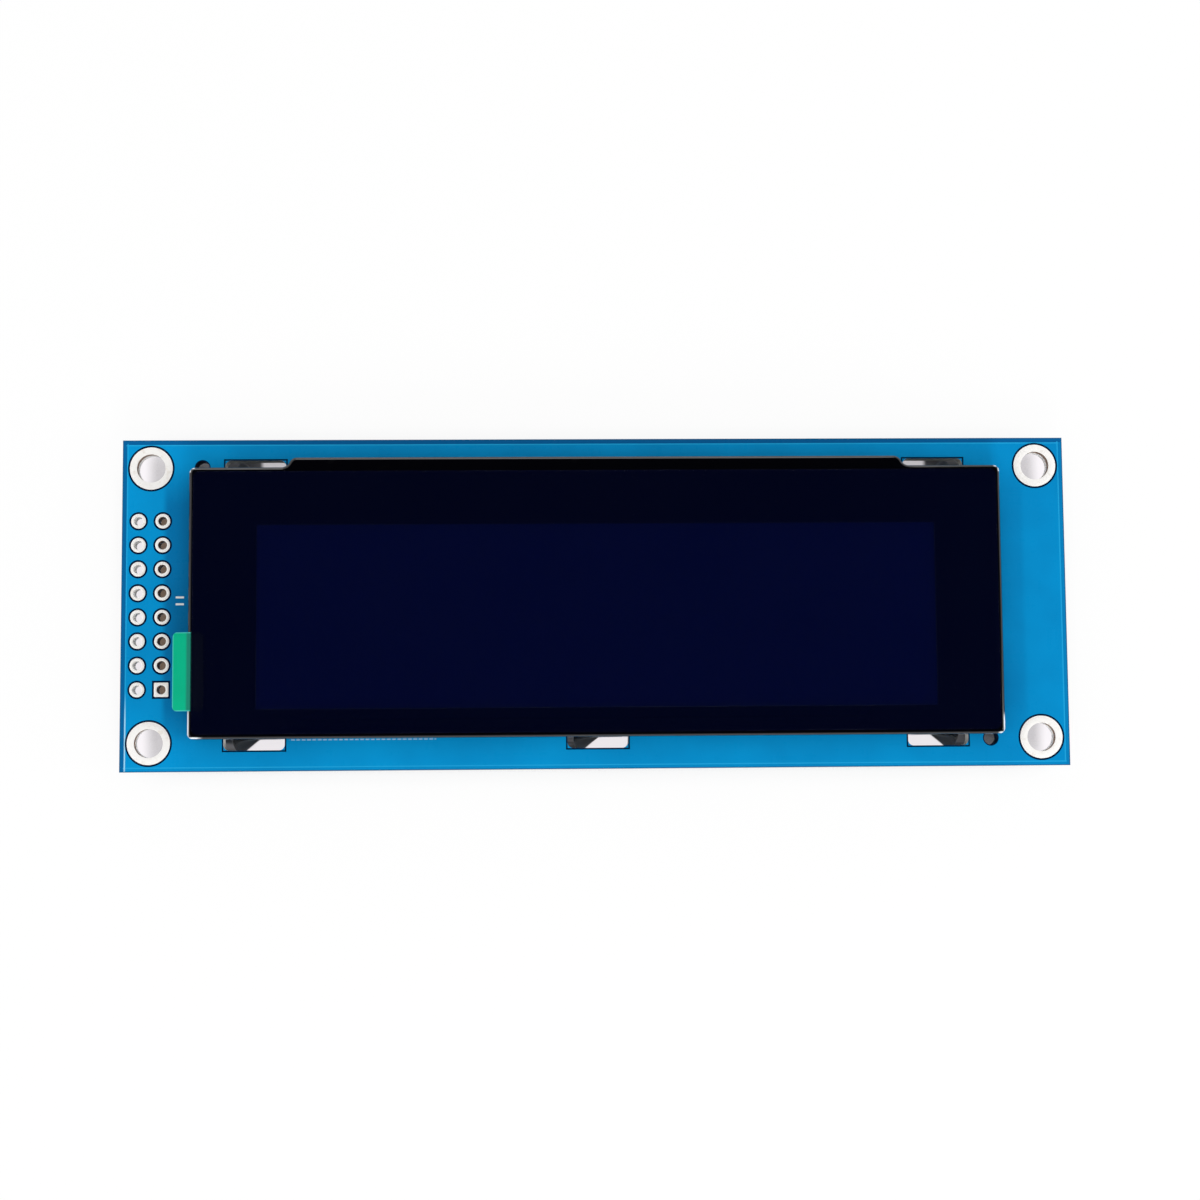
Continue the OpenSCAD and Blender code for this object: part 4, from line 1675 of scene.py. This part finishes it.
@dataclass
class BackParts(Part):
    """The components soldered behind the board."""

    chip: ChipShape = ChipShape()
    pad_r: float = 0.08
    pad_bevel: float = 0.02
    lead_t: float = 0.15
    lead_bend_r: float = 0.12
    lead_end: float = 0.985
    foot: float = 0.35
    strap_t: float = 0.1
    strap_bend_r: float = 0.1
    flange_share: float = 0.22
    flange_bevel: float = 0.06
    cut_corner: float = 0.45
    cut_inset: float = 0.4
    post_share: float = 0.45
    post_r_share: float = 0.2249
    resin_r: float = 1.1
    thin_bevel: float = 0.005
    lap: float = 0.02
    mould_r: tuple[float, float] = (0.1, 0.08)
    mould_bevel: float = 0.03
    mould_draft: float = 0.07
    mark_t: float = 0.02
    mark_r: float = 0.03
    mark_bevel: float = 0.002
    mark_in: float = 0.42
    dot: float = 0.3
    dot_in: float = 0.38
    band: tuple[float, float] = (0.35, 0.26)
    stripe: tuple[float, float] = (0.55, 0.24)
    stripe_in: float = 0.5

    def make(self) -> None:
        """Builds every component from the boxes of its CAD solids."""
        self._pads()
        self._inductor()
        for name in ("converter", "regulator", "diode"):
            self._package(name)
        self._moulded_capacitors()
        self._chips("chip_capacitors", "capacitor_ceramic", Stuff.CERAMIC, None)
        self._chips("chip_resistors", "resistor_chip", Stuff.ALUMINA, Stuff.GLAZE)
        self._chips("interface_links", "resistor_chip", Stuff.ALUMINA, Stuff.GLAZE)

    def _under(self, box: Box, turn: float = 0.0) -> Place:
        """The place of a part that hangs with its foot at its box's upper face."""
        return Place(box.centre[0], box.centre[1], box.high[2], turn, under=True)

    @staticmethod
    def _turn(box: Box) -> float:
        """90 where the box is longer along y, else 0."""
        return 90.0 if box.size[1] > box.size[0] else 0.0

    def _pads(self) -> None:
        """The tinned pads, each a low slab with rounded corners."""
        sketch = Sketch("solder_pads")
        for box in solid_boxes("back_pads"):
            plan = rounded_rectangle(box.size[0], box.size[1], self.pad_r, 3)
            sketch.slab(plan, 0.0, box.size[2], self.pad_bevel, Stuff.SOLDER.material,
                        self._under(box))
        self.keep(sketch.build(), "tinned_copper", "back_pads")

    def _inductor(self) -> None:
        """Two flanges with cut corners round a post, and the resin between them."""
        core, width = node_box("inductor_core"), node_box("inductor_fill").size[0]
        side, height = core.size[0], core.size[2]
        low, high = height * self.flange_share, height * (1 - self.flange_share)
        place, ferrite = self._under(core), Stuff.FERRITE.material

        def cut_square(inset: float) -> np.ndarray:
            """A square with cut corners.

            Args:
                inset: how far it is moved inwards.

            Returns:
                The points, anticlockwise.
            """
            h, c = side / 2 - inset, side / 2 - self.cut_corner - inset * self.cut_inset
            half = np.array([[c, -h], [h, -c], [h, c], [c, h]])
            return np.vstack([half, -half])

        drum = Sketch("inductor_drum")
        for z in (0.0, high):
            drum.slab(cut_square, z, z + low, self.flange_bevel, ferrite, place)
        post = rounded_rectangle(side * self.post_share, side * self.post_share,
                                 side * self.post_r_share, 12)
        drum.slab(post, low - self.lap, high + self.lap, self.thin_bevel, ferrite, place)
        self.keep(drum.build(), "ferrite", "inductor_core")
        resin = Sketch("inductor_resin")
        resin.slab(rounded_rectangle(width, width, self.resin_r, 10), low, high, self.thin_bevel,
                   Stuff.FILLER.material, place)
        self.keep(resin.build(), "magnetic_resin", "inductor_fill")

    def _package(self, name: str) -> None:
        """A moulded package with drafted sides, a pin mark, and its gull-wing leads.

        Args:
            name: the part's name, which its body and leads nodes start with.
        """
        body = node_box(f"{name}_body")
        turn = self._turn(body)
        length, width = max(body.size[:2]), min(body.size[:2])
        seat = node_box(f"{name}_leads").high[2]
        place = Place(body.centre[0], body.centre[1], seat, turn, under=True)
        low, high = seat - body.high[2], seat - body.low[2]
        sketch = Sketch(f"{name}_package")
        sketch.slab(rounded_rectangle(length, width, self.mould_r[0], 4), low, high,
                    self.mould_bevel, Stuff.MOULD.material, place, draft=self.mould_draft)
        self._mark(sketch, name, place, length, width, high)
        self.keep(sketch.build(), "package_mould", f"{name}_body")
        leads = Sketch(f"{name}_feet")
        for box in solid_boxes(f"{name}_leads"):
            self._lead(leads, box, body, seat)
        self.keep(leads.build(), "lead_tin", f"{name}_leads")

    def _mark(self, sketch: Sketch, name: str, place: Place, length: float, width: float,
              high: float) -> None:
        """A pale band at a diode's end, or a small dot at a package's first lead.

        Args:
            sketch: the package's sketch.
            name: the part's name.
            place: where the package stands.
            length, width: the package's size.
            high: height of its face.
        """
        if name == "diode":
            plan = rounded_rectangle(self.band[0], width - self.band[1], self.mark_r, 2)
            centre = (self.mark_in - length / 2, 0.0)
        else:
            plan = rounded_rectangle(self.dot, self.dot, self.dot / 2 - 0.0001, 6)
            centre = (self.mark_in - length / 2, self.dot_in - width / 2)
        rings = slab_rings(plan, high - self.mark_t + 0.001, high, self.mark_bevel)
        rings[..., :2] += centre
        sketch.grid(place.move(rings), Stuff.MARK.material, caps=True)

    def _lead(self, sketch: Sketch, box: Box, body: Box, seat: float) -> None:
        """One gull-wing lead: its centre line runs out, bends down, and bends out to its foot.

        The line is three straight stretches joined by quarter arcs, drawn half the lead's
        thickness to each side along its own normal, and carried across the lead's width.

        Args:
            sketch: the leads' sketch.
            box: the lead's CAD box.
            body: the package's box.
            seat: height of the pads that the feet stand on.
        """
        away = box.centre[:2] - body.centre[:2]
        axis = int(np.argmax(np.abs(away) - body.size[:2] / 2))
        outwards = bool(away[axis] > 0)
        width, reach = box.size[1 - axis], box.size[axis]
        start = np.array(box.centre)
        start[axis] = box.low[axis] if outwards else box.high[axis]
        place = Place(start[0], start[1], seat, LEAD_TURNS[axis, outwards], under=True)
        t, r = self.lead_t, self.lead_bend_r
        top, low = box.size[2] - t / 2, t / 2
        knee = reach - self.foot - t / 2
        line = np.vstack([[[0.0, top]], arc((knee - r, top - r), r, 90, 0, 5),
                          arc((knee + r, low + r), r, 180, 270, 5), [[reach, low]]])
        loop = ribbon(line, t)
        across = np.array([-width / 2, self.lap - width / 2, width / 2 - self.lap, width / 2])
        middle = loop.mean(axis=0)
        rings = []
        for x, pull in zip(across, (self.lead_end, 1, 1, self.lead_end)):
            ring = middle + (loop - middle) * pull
            rings.append(np.column_stack([np.full(len(ring), x), ring]))
        sketch.grid(place.move(np.array(rings)), Stuff.LEAD.material, caps=True)

    def _moulded_capacitors(self) -> None:
        """Yellow moulded bodies with a stripe at one end, and the straps folded under them."""
        sketch, straps = Sketch("moulded_capacitors"), Sketch("capacitor_straps")
        bodies, seat = solid_boxes("tantalum_bodies"), node_box("tantalum_leads").high[2]
        for box in bodies:
            length, width = max(box.size[:2]), min(box.size[:2])
            place = Place(box.centre[0], box.centre[1], seat, self._turn(box), under=True)
            low, high = seat - box.high[2], seat - box.low[2]
            sketch.slab(rounded_rectangle(length, width, self.mould_r[1], 3), low, high,
                        self.mould_bevel, Stuff.YELLOW_MOULD.material, place,
                        draft=self.mould_draft)
            plan = rounded_rectangle(self.stripe[0], width - self.stripe[1], self.mark_r, 2)
            stripe = slab_rings(plan, high - self.mark_t, high, self.mark_bevel)
            stripe[..., 0] += self.stripe_in - length / 2
            sketch.grid(place.move(stripe), Stuff.STRIPE.material, caps=True)
        for box in solid_boxes("tantalum_leads"):
            self._strap(straps, box, bodies)
        self.keep(sketch.build(), "capacitor_mould", "tantalum_bodies")
        self.keep(straps.build(), "lead_tin", "tantalum_leads")

    def _strap(self, sketch: Sketch, box: Box, bodies: list[Box]) -> None:
        """A strap: up the end of its body, round a bend, and under it.

        Args:
            sketch: the straps' sketch.
            box: the strap's CAD box.
            bodies: the capacitors' boxes, of which the nearest is the strap's own.
        """
        body = min(bodies, key=lambda b: np.linalg.norm(b.centre - box.centre))
        away = box.centre[:2] - body.centre[:2]
        axis = int(np.argmax(np.abs(away)))
        place = self._under(box, LEAD_TURNS[axis, bool(away[axis] > 0)])
        width, reach, height = box.size[1 - axis], box.size[axis], box.size[2]
        t, r = self.strap_t, self.strap_bend_r
        outer, inner = reach / 2 - t / 2, -reach / 2
        line = np.vstack([[[inner, t / 2]], arc((outer - r, t / 2 + r), r, -90, 0, 5),
                          [[outer, height]]])
        loop = ribbon(line, t)
        rings = np.array([np.column_stack([np.full(len(loop), x), loop])
                          for x in (-width / 2, width / 2)])
        sketch.grid(place.move(rings), Stuff.LEAD.material, caps=True)

    def _chips(self, node: str, slot: str, body: Stuff, top: Stuff | None) -> None:
        """Chip parts: a body, two end caps, a glazed top where it has one, and solder fillets.

        Args:
            node: the CAD node of the chips.
            slot: the record's slot.
            body: finish of the bodies.
            top: finish of a thin layer on the face away from the board, or None.
        """
        sketch, chip = Sketch(f"{node}_fine"), self.chip
        for box in solid_boxes(node):
            length, width, height = max(box.size[:2]), min(box.size[:2]), box.size[2]
            place = self._under(box, self._turn(box))
            core = rounded_rectangle(length - chip.core_short[0], width - chip.core_short[1],
                                     chip.corner_r, 3)
            sketch.slab(core, chip.core_bevel, height - chip.core_top, chip.core_bevel,
                        body.material, place)
            if top is not None:
                glaze = rounded_rectangle(length - 2 * chip.cap + chip.glaze_over,
                                          width - chip.glaze_short, chip.corner_r, 3)
                low, high = (height - down for down in chip.glaze_z)
                sketch.slab(glaze, low, high, chip.glaze_z[1], top.material, place)
            for side in (-1, 1):
                cap = rounded_rectangle(chip.cap, width, chip.cap_r, 4)
                rings = slab_rings(cap, 0.0, height, chip.cap_bevel)
                rings[..., 0] += side * (length - chip.cap) / 2
                sketch.grid(place.move(rings), Stuff.SOLDER.material, caps=True)
                self._fillet(sketch, place, side, length / 2, width, height)
        self.keep(sketch.build(), slot, node)

    def _fillet(self, sketch: Sketch, place: Place, side: int, end: float, width: float,
                height: float) -> None:
        """Solder drawn up a chip's end: a hollow quarter arc that shrinks towards both sides.

        Its size falls as the root of one less the fourth power of the way to each side.

        Args:
            sketch: the chips' sketch.
            place: where the chip stands.
            side: which end, -1 or 1.
            end: distance of the chip's end from its middle.
            width, height: the chip's size.
        """
        chip = self.chip
        rise, run, sunk = height * chip.fillet_rise, chip.fillet_run, chip.fillet_sunk
        a = np.radians(np.linspace(0, 90, 7))
        hollow = np.column_stack([run * (1 - np.sin(a)), rise * (1 - np.cos(a))])
        loop = np.vstack([hollow, [[-sunk, rise], [-sunk, 0.0]]])
        across = np.linspace(-width / 2, width / 2, 7)
        size = np.sqrt(np.clip(1 - (across / (width / 2)) ** 4, chip.fillet_least, 1))
        rings = []
        for y, s in zip(across, size):
            out = end + loop[:, 0] * s
            rings.append(np.column_stack([side * out, np.full(len(loop), y), loop[:, 1] * s]))
        rings = np.array(rings)
        if side > 0:
            rings = rings[::-1]
        sketch.grid(place.move(rings[:, ::-1]), Stuff.SOLDER.material, caps=True)


# ---------------------------------------------------------------------------- the studio


@dataclass(frozen=True)
class PaleFloor(Finish):
    """A pale floor that glows white, its shadow painted under the board and faintly round it.

    Near the board, what the camera sees of the floor is a painted shadow: how open the sky is
    above each point, steepened and never above white. Painted light lies where light would fall
    through the slots and holes; painted shade lies behind each twisted tab, and a brown painted
    shade under the header's inner column of holes. Places are those on the floor where the light
    arrives, a little out from the holes themselves.
    All sizes are in millimetres but sky_reach, which is in metres.
    """

    half: tuple[float, float]
    margin: float = 3.0
    matt: Colour = (0.9, 0.9, 0.9)
    shown: float = 0.92
    sky_reach: float = 0.03
    sky_shut: float = 0.18
    sky_gain: float = 2.9
    darkest: float = 0.012
    under_tint: Colour = (1.0, 0.96, 0.99)
    # pins: brown painted shade under the inner column, painted light under the outer one
    pins_shade_tint: Colour = (1.0, 0.68, 0.47)
    pins_light: tuple[float, float] = (0.9, 0.14)
    outer_pins: tuple[float, float] = (-49.7, -48.2)
    inner_pins: tuple[float, float] = (-47.2, -45.6)
    pins_reach: float = 9.9
    pins_soft: float = 0.2
    shift: float = 0.3
    slot_at: tuple[float, float] = (36.6, 14.24)
    slot_length: tuple[float, float] = (3.9, 3.5)
    slot_width: tuple[float, float] = (1.9, 1.6)
    slot_light: float = 0.88
    # painted light under the upper slots is dimmer
    upper_loss: float = 0.35
    mount_at: tuple[float, float] = (47.8, 14.75)
    mount_edge: tuple[float, float] = (4.2, 3.0)
    # painted shade: the light under the mounting holes dims towards the module's middle
    mount_fade: tuple[float, float] = (48.5, 46.9)
    mount_loss: float = 0.42
    tab_at: tuple[float, float] = (36.0, 14.0)
    tab_middle: float = 20.0
    tab_slope: float = 1.2
    tab_edge: tuple[float, float] = (-0.5, 0.1)
    tab_end: tuple[float, float] = (4.5, 3.9)
    tab_shade: float = 0.99
    streaks_per_mm: float = 0.5
    streaks_draw: Colour = (0.5, 2.5, 1.0)
    streaks_edge: tuple[float, float] = (0.35, 0.7)
    streaks_light: float = 0.1

    def shader(self, graph: Graph) -> Value:
        """Matt grey for light that bounces, and for the camera a white glow or the painted shadow.

        Args:
            graph: the material's tree.

        Returns:
            The surface.
        """
        x, y, _ = graph.place()
        sky = graph.add("ShaderNodeAmbientOcclusion", {"samples": 8},
                        {"Distance": self.sky_reach}, "AO")
        shadow = ((sky - self.sky_shut) * self.sky_gain).most(self.darkest).least(1.0)
        covered = (abs(x) < self.half[0]) * (abs(y) < self.half[1])
        pins = x.band(*self.inner_pins, self.pins_soft) * (abs(y - self.shift) < self.pins_reach)
        pins = pins * (shadow < 0.5)
        tint = graph.mix(pins, graph.mix(covered, WHITE, self.under_tint), self.pins_shade_tint)
        strength = shadow.most(self._lit(x, y)).most(pins * self.pins_light[1])
        strength = strength * (1 - self._tab_shade(graph, x, y))
        near = (abs(x) < self.half[0] + self.margin) * (abs(y) < self.half[1] + self.margin)
        bright = self._blend(graph, near, graph.glow(WHITE, 1.0), graph.glow(tint, strength))
        matt = graph.add("ShaderNodeBsdfDiffuse", None, {"Color": self.matt})
        return self._blend(graph, graph.ray("Camera") * self.shown, matt, bright)

    @staticmethod
    def _blend(graph: Graph, share: Value, first: Value, second: Value) -> Value:
        """Blends two surfaces: share 0 gives the first, 1 the second."""
        return graph.add("ShaderNodeMixShader", None, {0: share, 1: first, 2: second})

    def _under_slots(self, x: Value, y: Value) -> Value:
        """Finds the floor that shows through the board's five slots.

        Args:
            x, y: the point.

        Returns:
            1 under the slots, else 0.
        """
        along = abs(abs(x) - self.slot_at[0]).least(abs(x) + (y > 0) * NOWHERE)
        across = abs(abs(y - self.shift) - self.slot_at[1])
        return along.step(*self.slot_length) * across.step(*self.slot_width)

    def _lit(self, x: Value, y: Value) -> Value:
        """How bright the light painted on the floor is under the board's slots and holes.

        Args:
            x, y: the point.

        Returns:
            The painted brightness, 0 where no such light is painted.
        """
        across = abs(y - self.shift)
        slots = self._under_slots(x, y) * (self.slot_light - (y > 0) * self.upper_loss)
        u, v = abs(x) - self.mount_at[0], across - self.mount_at[1]
        fade = 1 - abs(x).step(*self.mount_fade) * self.mount_loss
        mounts = (u * u + v * v).step(*self.mount_edge) * fade
        pins = x.band(*self.outer_pins, self.pins_soft) * (across < self.pins_reach)
        return slots.most(mounts).most(pins * self.pins_light[0])

    def _tab_shade(self, graph: Graph, x: Value, y: Value) -> Value:
        """Shade painted on the floor behind each tab, outwards of its diagonal, with soft streaks.

        Args:
            graph: the material's tree.
            x, y: the point.

        Returns:
            The shade, 1 where the floor is black.
        """
        corner = abs(x) > self.tab_middle
        out = corner * (abs(x) - self.tab_at[0]) + (1 - corner) * (0 - x)
        away = (abs(y) - self.tab_at[1]).most(-1.0)
        behind = (out - away * (y < 0) * self.tab_slope).step(*self.tab_edge)
        streaks = graph.noise(self.streaks_per_mm, 3, self.streaks_draw).step(*self.streaks_edge)
        shade = self.tab_shade - streaks * self.streaks_light
        return behind * out.step(*self.tab_end) * shade * self._under_slots(x, y)


@dataclass
class Lamp:
    """A soft square lamp aimed at the module's middle, in metres and degrees."""

    name: str
    from_zenith: float
    bearing: float
    distance: float
    side: float
    watts: float
    shines: bool = True

    def make(self, target: Vector) -> None:
        """Hangs the lamp and turns it to its target; one that doesn't shine makes no highlights.

        Args:
            target: the point it is aimed at.
        """
        tilt, turn = math.radians(self.from_zenith), math.radians(self.bearing)
        away = Vector((math.sin(tilt) * math.cos(turn), math.sin(tilt) * math.sin(turn),
                       math.cos(tilt)))
        light = bpy.data.lights.new(self.name, "AREA")
        light.size = self.side
        light.energy = self.watts
        obj = bpy.data.objects.new(self.name, light)
        obj.location = target + away * self.distance
        obj.visible_glossy = self.shines
        obj.rotation_mode = "QUATERNION"
        obj.rotation_quaternion = away.to_track_quat("Z", "Y")
        bpy.context.scene.collection.objects.link(obj)


@dataclass
class Studio:
    """Floor, white surroundings, lamps and the camera above the module.

    The camera's turns are in radians, and its distance and slide in metres.
    """

    fill: float = 0.78
    gloss_edge: tuple[float, float] = (0.42, 0.22)
    gloss_left: float = 0.4
    gloss_dark: float = 0.005
    lens_mm: float = 60.0
    sensor_mm: float = 36.0
    tilt_x: float = -0.0836
    tilt_y: float = 0.0302
    roll: float = 0.0054
    distance: float = 0.2116134
    slide: tuple[float, float] = (-0.0003342, -0.0002997)
    floor_half: float = 1500.0
    floor_gap: float = 0.01
    lamps: tuple[Lamp, ...] = (
        Lamp("key_lamp", 68, -12, 0.5, 0.2, 0.7),
        Lamp("front_lamp", 58, -84, 0.5, 0.16, 0.85, shines=False),
        Lamp("left_lamp", 74, -168, 0.5, 0.2, 0.3),
        Lamp("back_lamp", 78, 92, 0.5, 0.3, 0.6),
    )

    def make(self, levels: Levels) -> None:
        """Sets up everything that isn't the object.

        Args:
            levels: the module's heights.
        """
        bpy.context.scene.view_settings.view_transform = "Standard"
        middle = Vector((0, 0, levels.board_top * MM))
        self._camera(middle)
        self._world()
        self._floor(levels)
        for lamp in self.lamps:
            lamp.make(middle)

    def _camera(self, middle: Vector) -> None:
        """The camera looks almost straight down, turned a little about each axis.

        Args:
            middle: the middle of the board's front.
        """
        turn = (Matrix.Rotation(self.roll, 3, "Z") @ Matrix.Rotation(self.tilt_y, 3, "Y")
                @ Matrix.Rotation(self.tilt_x, 3, "X"))
        data = bpy.data.cameras.new("main_camera")
        data.lens, data.sensor_width = self.lens_mm, self.sensor_mm
        camera = bpy.data.objects.new("main_camera", data)
        axes = turn.transposed()
        away = axes @ Vector((-self.slide[0], -self.slide[1], self.distance))
        camera.matrix_world = Matrix.Translation(away + middle) @ axes.to_4x4()
        bpy.context.scene.collection.objects.link(camera)
        bpy.context.scene.camera = camera

    def _world(self) -> None:
        """White to the camera and through glass, a soft fill on matt surfaces.

        Gloss sees white low down all round, a little higher on the left, and near darkness
        overhead.
        """
        world = bpy.data.worlds.new("studio")
        bpy.context.scene.world = world
        graph = Graph(world)
        seen = graph.ray("Camera").most(graph.ray("Transmission"))
        gloss = graph.ray("Glossy")
        across, _, up = graph.axes(graph.add("ShaderNodeTexCoord", output="Generated"))
        low = (up + across.least(0.0) * self.gloss_left).step(*self.gloss_edge)
        shine = low * (1 - self.gloss_dark) + self.gloss_dark
        strength = seen + (1 - seen) * (gloss * shine + (1 - gloss) * self.fill)
        background = graph.add("ShaderNodeBackground", None, {"Color": WHITE, "Strength": strength})
        graph.output(background, "ShaderNodeOutputWorld")

    def _floor(self, levels: Levels) -> None:
        """Lays a large flat grid just under the bezel's tabs.

        Args:
            levels: the module's heights.
        """
        span = np.linspace(-self.floor_half, self.floor_half, 7)
        u, v = np.meshgrid(span, span)
        height = levels.bezel.low[2] - self.floor_gap
        finish = PaleFloor("pale_floor", (levels.board.high[0], levels.board.high[1]))
        sketch = Sketch("floor")
        sketch.grid(np.stack([u, v, np.full(u.shape, height)], axis=-1), finish.material(),
                    around_points=False)
        sketch.build()


def main() -> None:
    """Builds the studio, then each sub-assembly in order."""
    logging.basicConfig(level=logging.INFO, format="%(name)s: %(message)s")
    levels = Levels()
    Studio().make(levels)
    for part in (Board(levels), Bezel(levels), Panel(levels), BackParts(levels)):
        part.make()


if __name__ == "__main__":
    main()
